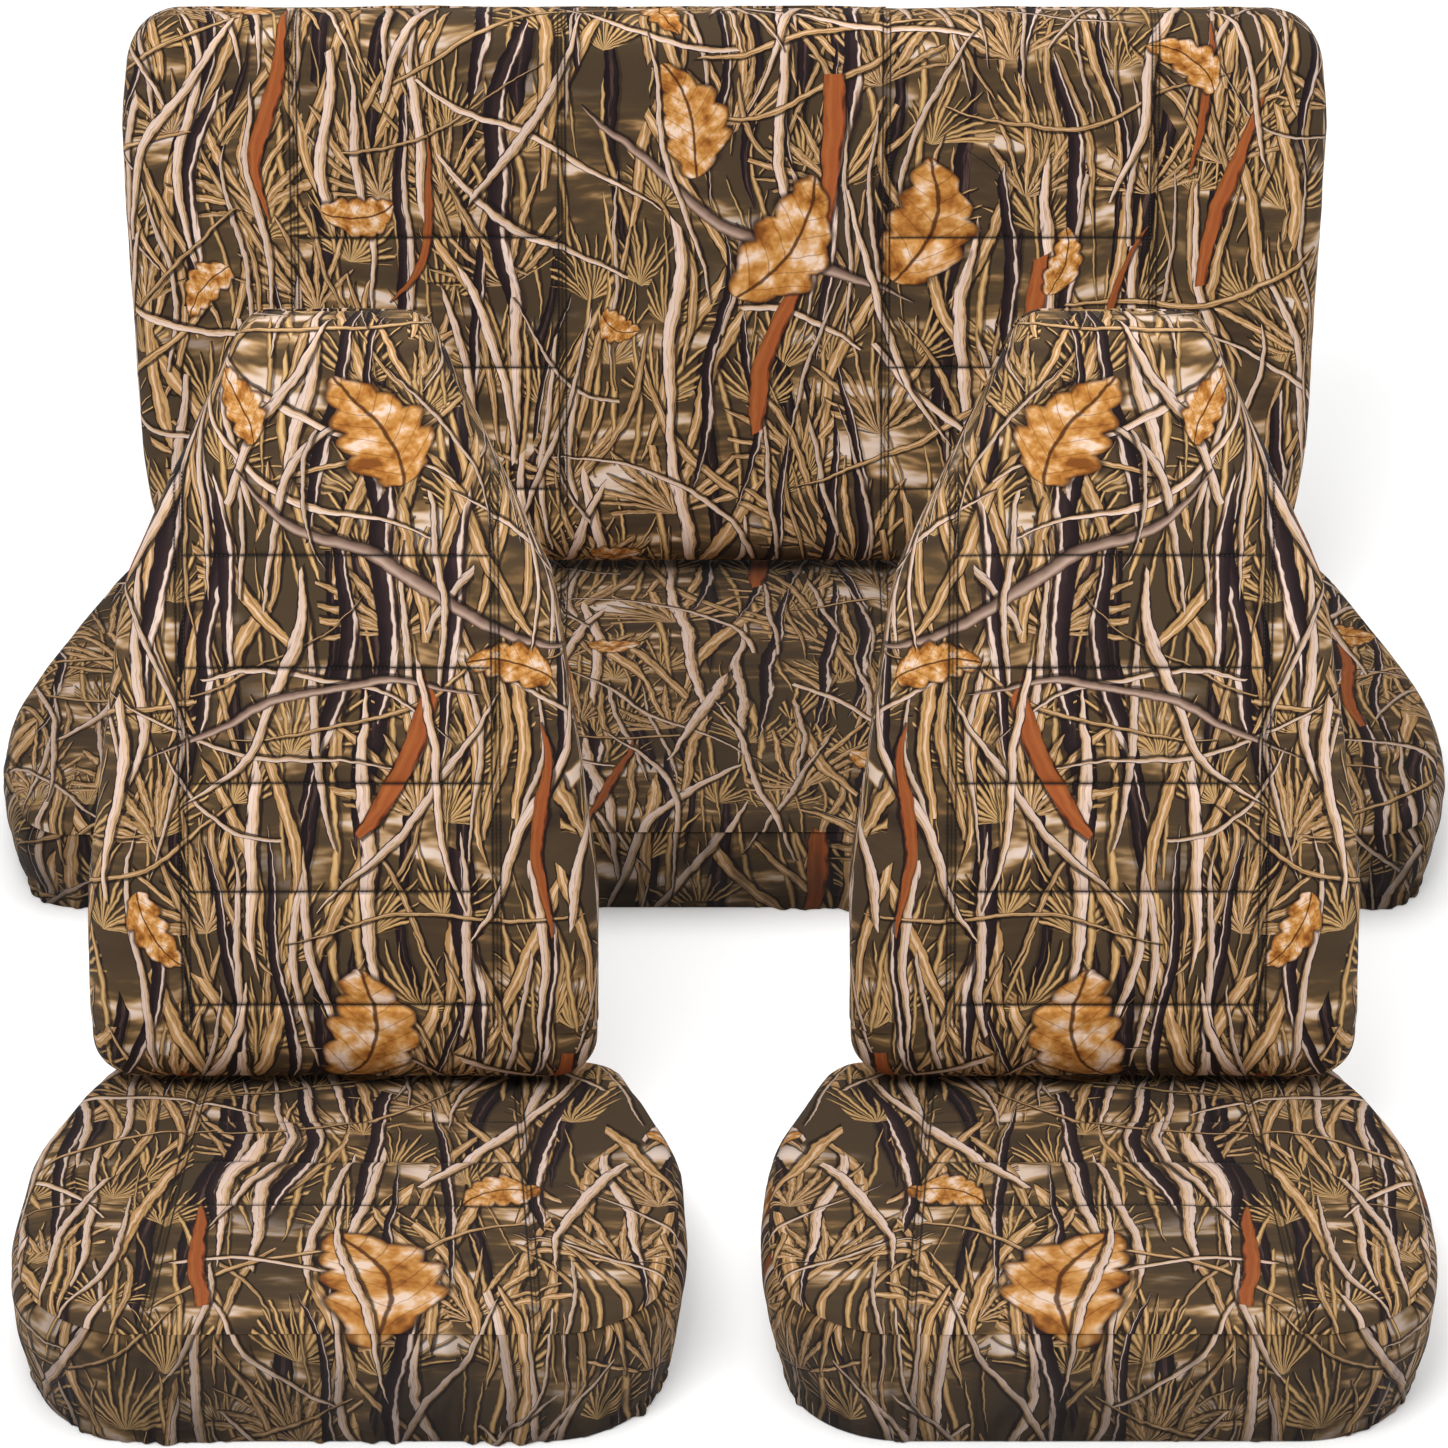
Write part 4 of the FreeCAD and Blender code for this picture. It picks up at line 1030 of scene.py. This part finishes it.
def camo_print():
    """Wetland print on cotton and polyester canvas: ground, reeds, tufts, stems, branches and leaves."""
    mat = bpy.data.materials.new("camo_canvas_print")
    mat.use_nodes = True
    tree = mat.node_tree
    t = Tree(tree)
    shader = tree.nodes["Principled BSDF"]
    reeds, tufts, leaf = reed_group(), tuft_group(), leaf_group()
    uv = t.add("ShaderNodeUVMap", uv_map="cloth").outputs[0]
    slow = t.noise(uv, 5.0, 1.0, 0.5, "Color")
    quick = t.noise(uv, 45.0, 2.0, 0.6, "Color")
    warp = t.scale(t.vector("SUBTRACT", slow, (0.5, 0.5, 0.5)), 0.055)
    fine = t.scale(t.vector("SUBTRACT", quick, (0.5, 0.5, 0.5)), 0.0042)
    p = t.vector("ADD", t.vector("ADD", uv, warp), fine)

    # out of focus water and mud, smeared sideways
    flat = t.vector("MULTIPLY", p, (9.0, 34.0, 1.0))
    smear = t.noise(flat, 1.0, 3.0, 0.55)
    colour = t.ramp(smear, [(0.0, "29201a"), (0.38, "4a3d2c"), (0.5, "56472f"), (0.56, "7b623f"), (0.61, "b39668"),
                            (0.67, "ddcbb4"), (0.76, "e6dacb")])
    patch = t.noise(t.vector("MULTIPLY", p, (4.0, 6.0, 1.0)), 1.0, 1.0)
    colour = t.mix(t.range(patch, 0.46, 0.66), colour, hex_rgb("4a3e2c"))

    def lay(colour, node, ramp, amount=0.85, tint=0.35):
        """Puts one layer of blades with its shadow over what is there."""
        shadow = t.math("MULTIPLY", node.outputs["Shadow"], amount)
        colour = t.mix(shadow, colour, SHADOW)
        streak = t.noise(t.join(t.math("MULTIPLY", node.outputs["Across"], 1.6),
                                t.math("MULTIPLY", node.outputs["Along"], 4.0)), 1.0, 2.0, 0.6)
        across = t.math("MULTIPLY_ADD", node.outputs["Across"], 0.5, t.math("MULTIPLY_ADD", streak, 0.5, 0.25))
        ink = t.ramp(across, ramp)
        r = t.split(node.outputs["Random"])
        shade = t.math("MULTIPLY_ADD", r[1], tint, 1.0 - tint * 0.6)
        ink = t.mix(1.0, ink, t.join(shade, shade, shade), "MULTIPLY")
        return t.mix(node.outputs["Mask"], colour, ink)

    def after(colour):
        """Cloth position that waits for the colour under it, so few values are held at once."""
        return t.vector("ADD", p, t.scale(colour, 1e-7))

    def reed(colour, angle, cell, blade, bend, spread, keep, seed, ramp, amount=0.85, tint=0.35):
        node = t.add("ShaderNodeGroup", {
            "Angle": math.radians(angle), "Cell Width": cell[0], "Cell Length": cell[1], "Blade Width": blade,
            "Bend": bend, "Spread": math.radians(spread), "Keep": keep, "Seed": seed}, node_tree=reeds)
        tree.links.new(after(colour), node.inputs["Vector"])
        return lay(colour, node, ramp, amount, tint)

    def tuft(colour, cell, blade, step, fan, keep, seed, angle, ramp, amount=0.8):
        node = t.add("ShaderNodeGroup", {
            "Cell Width": cell[0], "Cell Length": cell[1], "Blade Width": blade, "Step": math.radians(step),
            "Fan": math.radians(fan), "Keep": keep, "Seed": seed, "Angle": math.radians(angle)}, node_tree=tufts)
        tree.links.new(after(colour), node.inputs["Vector"])
        return lay(colour, node, ramp, amount)

    colour = reed(colour, 3, (52, 300), 9.5, 40, 9, 0.6, 1.0, DARK, 0.5)
    colour = tuft(colour, (70, 90), 2.4, 11, 75, 0.7, 2.0, 8, THIN)
    colour = reed(colour, -6, (19, 190), 3.0, 26, 9, 0.55, 3.0, THIN, 0.7)
    colour = reed(colour, 14, (36, 190), 6.4, 50, 16, 0.55, 4.0, STRAW)
    colour = tuft(colour, (105, 130), 4.4, 16, 80, 0.5, 5.0, -10, STRAW)
    colour = reed(colour, -18, (38, 180), 5.6, 60, 16, 0.5, 6.0, STRAW)
    colour = reed(colour, 2, (50, 280), 8.5, 60, 8, 0.5, 7.0, STEM, 0.4)
    colour = reed(colour, -3, (33, 230), 5.6, 36, 10, 0.55, 8.0, CREAM)
    colour = reed(colour, 72, (74, 260), 2.6, 120, 20, 0.4, 9.0, STRAW)
    colour = reed(colour, -64, (90, 240), 3.0, 130, 22, 0.35, 10.0, CREAM)
    colour = reed(colour, 26, (60, 220), 6.0, 70, 14, 0.4, 11.0, CREAM)
    colour = reed(colour, 6, (110, 190), 9.0, 40, 14, 0.22, 12.0, RUST, 0.85, 0.3)

    branches = [(60, 400, 62, 170, 6.5, 30), (-40, 300, 104, 150, 4.0, -30), (1813, 585, 60, 190, 7.5, 30)]
    for x, y, angle, length, width, bend in branches:
        lx, ly, _ = placed(t, after(colour), x, y, angle)
        along = t.math("DIVIDE", ly, float(length))
        sway = t.math("MULTIPLY", t.math("MULTIPLY", along, along), float(bend))
        mask, shade, ratio = blade_outline(t, t.math("SUBTRACT", lx, sway), along, float(width))
        colour = t.mix(t.math("MULTIPLY", shade, 0.8), colour, SHADOW)
        colour = t.mix(mask, colour, t.ramp(t.math("MULTIPLY_ADD", ratio, 0.5, 0.5), BARK))

    # small fallen leaves scattered all over the cloth
    spot = t.scale(after(colour), 1000.0 / LEAF_CELL)
    dots = t.add("ShaderNodeTexVoronoi", {"Vector": spot, "Scale": 1.0, "Randomness": 0.8}, voronoi_dimensions="2D")
    local = t.scale(t.vector("SUBTRACT", spot, dots.outputs["Position"]), LEAF_CELL)
    pick = t.split(dots.outputs["Color"])
    lx, ly, _ = t.split(t.rotate(local, t.math("MULTIPLY", pick[0], math.tau)))
    node = t.add("ShaderNodeGroup", node_tree=leaf)
    tree.links.new(lx, node.inputs["X"])
    tree.links.new(ly, node.inputs["Y"])
    tree.links.new(t.math("MULTIPLY_ADD", pick[1], 22.0, 22.0), node.inputs["Length"])
    tree.links.new(t.math("MULTIPLY", pick[2], 40.0), node.inputs["Seed"])
    keep = t.math("LESS_THAN", pick[2], 0.5)
    colour = t.mix(t.math("MULTIPLY", t.math("MULTIPLY", node.outputs["Shadow"], keep), 0.8), colour,
                   SHADOW)
    colour = t.mix(t.math("MULTIPLY", node.outputs["Mask"], keep), colour, node.outputs["Color"])

    leaves = [(36, 540, 24, 60, 1.0), (22, -6, -14, 62, 2.0), (140, 338, 78, 40, 4.0), (25, -690, 12, 78, 5.0),
              (1766, 700, 24, 60, 6.0), (1998, 590, -12, 62, 7.0), (1860, 575, -35, 72, 8.0),
              (2235, 745, 50, 34, 9.0)]
    for x, y, angle, length, seed in leaves:
        lx, ly, _ = placed(t, after(colour), x, y, angle)
        node = t.add("ShaderNodeGroup", {"X": lx, "Y": ly, "Length": length, "Seed": seed}, node_tree=leaf)
        colour = t.mix(t.math("MULTIPLY", node.outputs["Shadow"], 0.8), colour, SHADOW)
        colour = t.mix(node.outputs["Mask"], colour, node.outputs["Color"])

    colour = reed(colour, -8, (96, 220), 4.2, 60, 18, 0.4, 14.0, CREAM)

    # dye strength, painted shade from a mesh attribute (seams, stitch and quilt rows, skirts, cushion tops), twill
    # weave
    colour = t.mix(1.0, colour, hex_rgb("f8eeef"), "MULTIPLY")
    crease = t.add("ShaderNodeAttribute", attribute_name="crease").outputs["Fac"]
    colour = t.mix(t.math("MULTIPLY", crease, 0.9, clamp=True), colour, hex_rgb("120d0b"))
    tree.links.new(colour, shader.inputs["Base Color"])
    u, v, _ = t.split(t.scale(uv, math.tau * 1000 / TWILL_PITCH))
    warp_yarn = t.math("SINE", t.math("ADD", u, v))
    weft_yarn = t.math("SINE", t.math("MULTIPLY", t.math("SUBTRACT", v, t.math("MULTIPLY", u, 0.4)), 1.7))
    weave = t.math("MULTIPLY_ADD", weft_yarn, 0.35, warp_yarn)
    bump = t.add("ShaderNodeBump", {"Strength": 0.35, "Distance": 0.00018, "Height": weave})
    tree.links.new(bump.outputs[0], shader.inputs["Normal"])
    shader.inputs["Roughness"].default_value = 0.85
    shader.inputs["Sheen Weight"].default_value = 0.02
    shader.inputs["Specular IOR Level"].default_value = 0.14
    return mat


CAMO = camo_print()
THREAD = simple("polyester_thread", "15110f", 0.6)
STITCH_TREE = stitch_tree()
LINING = textile("lining_tricot", "2b2a28", "3a3835", (0.9, 0.9), 0.9, 0.25)
TAPE = textile("closure_tape_nylon", "0c0c0d", "242426", (0.8, 0.8), 0.95, 0.6)
WEBBING = textile("webbing_polypropylene", "0e0e0f", "232325", (1.6, 0.8), 0.75, 0.5)
PLASTIC = textile("buckle_acetal", "0b0b0c", "161617", (0.5, 0.5), 0.42, 0.05)
ELASTIC = textile("elastic_braid", "131313", "2a2928", (1.2, 0.6), 0.8, 0.4)
CLOTH = [CAMO, LINING]

# ------------------------------------------------------------------ the set

BACK_HALF = rounded([(218, 0), (219, 124), (183, 390), (76, 620), (0, 620)], (300, 140, 30))
REST_HALF = rounded([(553, 0), (562, 60), (577, 380), (566, 488), (0, 488)], (200, 300, 50))


SEAM = 133.5
# mm, where each kind of cover is cut from the printed cloth
FRONT_BACK_PRINT, FRONT_SEAT_PRINT = np.array([0.0, 0.0]), np.array([0.0, -760.0])
BENCH_BACK_PRINT, BENCH_SEAT_PRINT = np.array([1800.0, 300.0]), np.array([1800.0, -900.0])
BACK_MARKS = (26.0, 127.0, 223.0, 325.0, 423.0)
REST_MARKS = (30.0, 150.0, 277.0)


def line_between(y0, x0, y1, x1):
    """Across position of a straight seam as a function of the position along."""
    return lambda v: x0 + (v - y0) * (x1 - x0) / (y1 - y0)


SEAT_RIGHT = line_between(19, 161, 389, 136)
SEAT_LEFT = line_between(19, -161, 389, -136)

for side, hand in (("left", -1), ("right", 1)):
    flip = -float(hand)
    tag = f"front_{side}"
    back_offset = hand * 327.7
    outer, inner = (-WIDE, -SEAM), (SEAM, WIDE)
    outer_seat, inner_seat = (fixed(-WIDE), SEAT_LEFT), (SEAT_RIGHT, fixed(WIDE))
    if hand > 0:
        outer, inner = inner, outer
        outer_seat, inner_seat = inner_seat, outer_seat
    back_cover(f"{tag}_back", back_offset, FRONT_PIVOT, BACK_HALF, (-SEAM, SEAM), BACK_MARKS,
               {"insert": (-SEAM, SEAM)},
               {"insert": (-SEAM, SEAM), "bolster_outer": outer, "bolster_inner": inner}, flip, FRONT_BACK_PRINT)
    closure_flap(tag, f"{tag}_flap", back_offset, FRONT_PIVOT, 184.0, flip)
    fold_bar(f"{tag}_back_rear_hem", f"{tag}_back", back_offset, FRONT_PIVOT, 184.0, flip)
    seat = {
        "hem": rounded([(0, 13), (256, 13), (267, 150), (262, 285), (211, 461), (0, 461)], (100, 300, 300, 30)),
        "start": -47.0, "rear": 461.0, "z0": 117.0, "z1": 84.0, "crown": 18.0, "dome": 8.0,
        "belly": 300.0, "edge": 26.0, "seams": (SEAT_LEFT, SEAT_RIGHT), "marks": (180.0, 251.0, 324.0),
        "cross": {"insert": (SEAT_LEFT, SEAT_RIGHT)}, "slack": 3.0, "seed": 3.0 + hand, "skirt_y": 96.0,
        # shade: even painted shade over the whole cover, the skirts darker still
        "pleat_step": 3.2, "shade": 0.22,
        "panels": {"insert": (SEAT_LEFT, SEAT_RIGHT), "bolster_outer": outer_seat, "bolster_inner": inner_seat},
    }
    cushion_cover(f"{tag}_cushion", hand * 314.5, seat, flip, FRONT_SEAT_PRINT)

BENCH_SEAMS = (-411, -155, 155, 411)
BENCH_PANELS = {"centre": (-155, 155), "insert_left": (-411, -155), "insert_right": (155, 411),
                "outer_left": (-WIDE, -411), "outer_right": (411, WIDE)}
BENCH_INSERTS = {name: BENCH_PANELS[name] for name in ("insert_left", "insert_right")}
back_cover("bench_back", 0.0, BENCH_PIVOT, REST_HALF, BENCH_SEAMS, REST_MARKS, BENCH_INSERTS, BENCH_PANELS, 1.0,
           BENCH_BACK_PRINT)
closure_flap("bench", "bench_back_flap", 0.0, BENCH_PIVOT, 524.0, 1.0)
fold_bar("bench_back_rear_hem", "bench_back", 0.0, BENCH_PIVOT, 524.0, 1.0)


def straight(panels):
    """Limits of panels as functions of the position along."""
    return {name: (fixed(low), fixed(high)) for name, (low, high) in panels.items()}


bench = {
    "hem": rounded([(0, 840), (636, 840), (664, 960), (658, 1066), (571, 1387), (0, 1387)], (45, 300, 300, 30)),
    "start": 780.0, "rear": 1387.0, "z0": 86.0, "z1": 70.0, "crown": 14.0, "dome": 6.0,
    "belly": 720.0, "edge": 26.0, "seams": [fixed(x) for x in BENCH_SEAMS], "marks": (960.0, 1090.0, 1220.0),
    "cross": straight(BENCH_INSERTS), "slack": 3.0, "seed": 11.0, "skirt_y": 905.0, "pleat_step": 4.4,
    # shade: even painted shade over the whole cover, the skirts darker still
    "shade": 0.36, "panels": straight(BENCH_PANELS),
}
cushion_cover("bench_cushion", 0.0, bench, 1.0, BENCH_SEAT_PRINT)

for name, obj in frame["nodes"].items():
    for word, mat in (("tape", TAPE), ("webbing", WEBBING), ("buckle", PLASTIC), ("elastic", ELASTIC)):
        if word in name:
            obj.data.materials.clear()
            obj.data.materials.append(mat)

# ------------------------------------------------------------------ studio

floor_mesh = bpy.data.meshes.new("floor")
floor_mesh.from_pydata([(-9, -9, 0), (9, -9, 0), (9, 12, 0), (-9, 12, 0)], [], [(0, 1, 2, 3)])
floor = link("floor", floor_mesh)
paper = simple("floor_paper", "fafafa", 0.9)
paper.node_tree.nodes["Principled BSDF"].inputs["Emission Color"].default_value = hex_rgb("ffffff")
paper.node_tree.nodes["Principled BSDF"].inputs["Emission Strength"].default_value = 0.14
floor_mesh.materials.append(paper)


def area_light(name, place, aim, size, power, colour="ffffff"):
    data = bpy.data.lights.new(name, "AREA")
    data.shape = "RECTANGLE"
    data.size, data.size_y = size
    data.energy = power
    data.color = hex_rgb(colour)[:3]
    lamp = link(name, data)
    lamp.location = place
    lamp.rotation_euler = (Vector(aim) - Vector(place)).to_track_quat("-Z", "Y").to_euler()


area_light("key", (-1.2, -2.8, 4.4), (0, 0, 0.3), (2.6, 2.2), 150)
area_light("fill", (2.2, -2.4, 3.8), (0, 0, 0.3), (2.4, 2.4), 50)
area_light("top", (0, 0.4, 3.8), (0, 0.1, 0.2), (4.0, 3.6), 90)
world = bpy.data.worlds.new("studio")
world.use_nodes = True
world.node_tree.nodes["Background"].inputs[0].default_value = (1, 1, 1, 1)
world.node_tree.nodes["Background"].inputs[1].default_value = 0.32
bpy.context.scene.world = world

camera_data = bpy.data.cameras.new("camera")
camera_data.sensor_width = 36
camera_data.lens = 185.8
camera = link("camera", camera_data)
camera.location = (0, (-4997 + SET_SHIFT) / 1000, 3.706)
target = Vector((0, (742 + SET_SHIFT) / 1000, 0.2575))
camera.rotation_euler = (target - camera.location).to_track_quat("-Z", "Y").to_euler()
bpy.context.scene.camera = camera
bpy.context.scene.view_settings.view_transform = "Standard"
bpy.context.scene.cycles.max_bounces = 4
bpy.context.scene.cycles.diffuse_bounces = 2
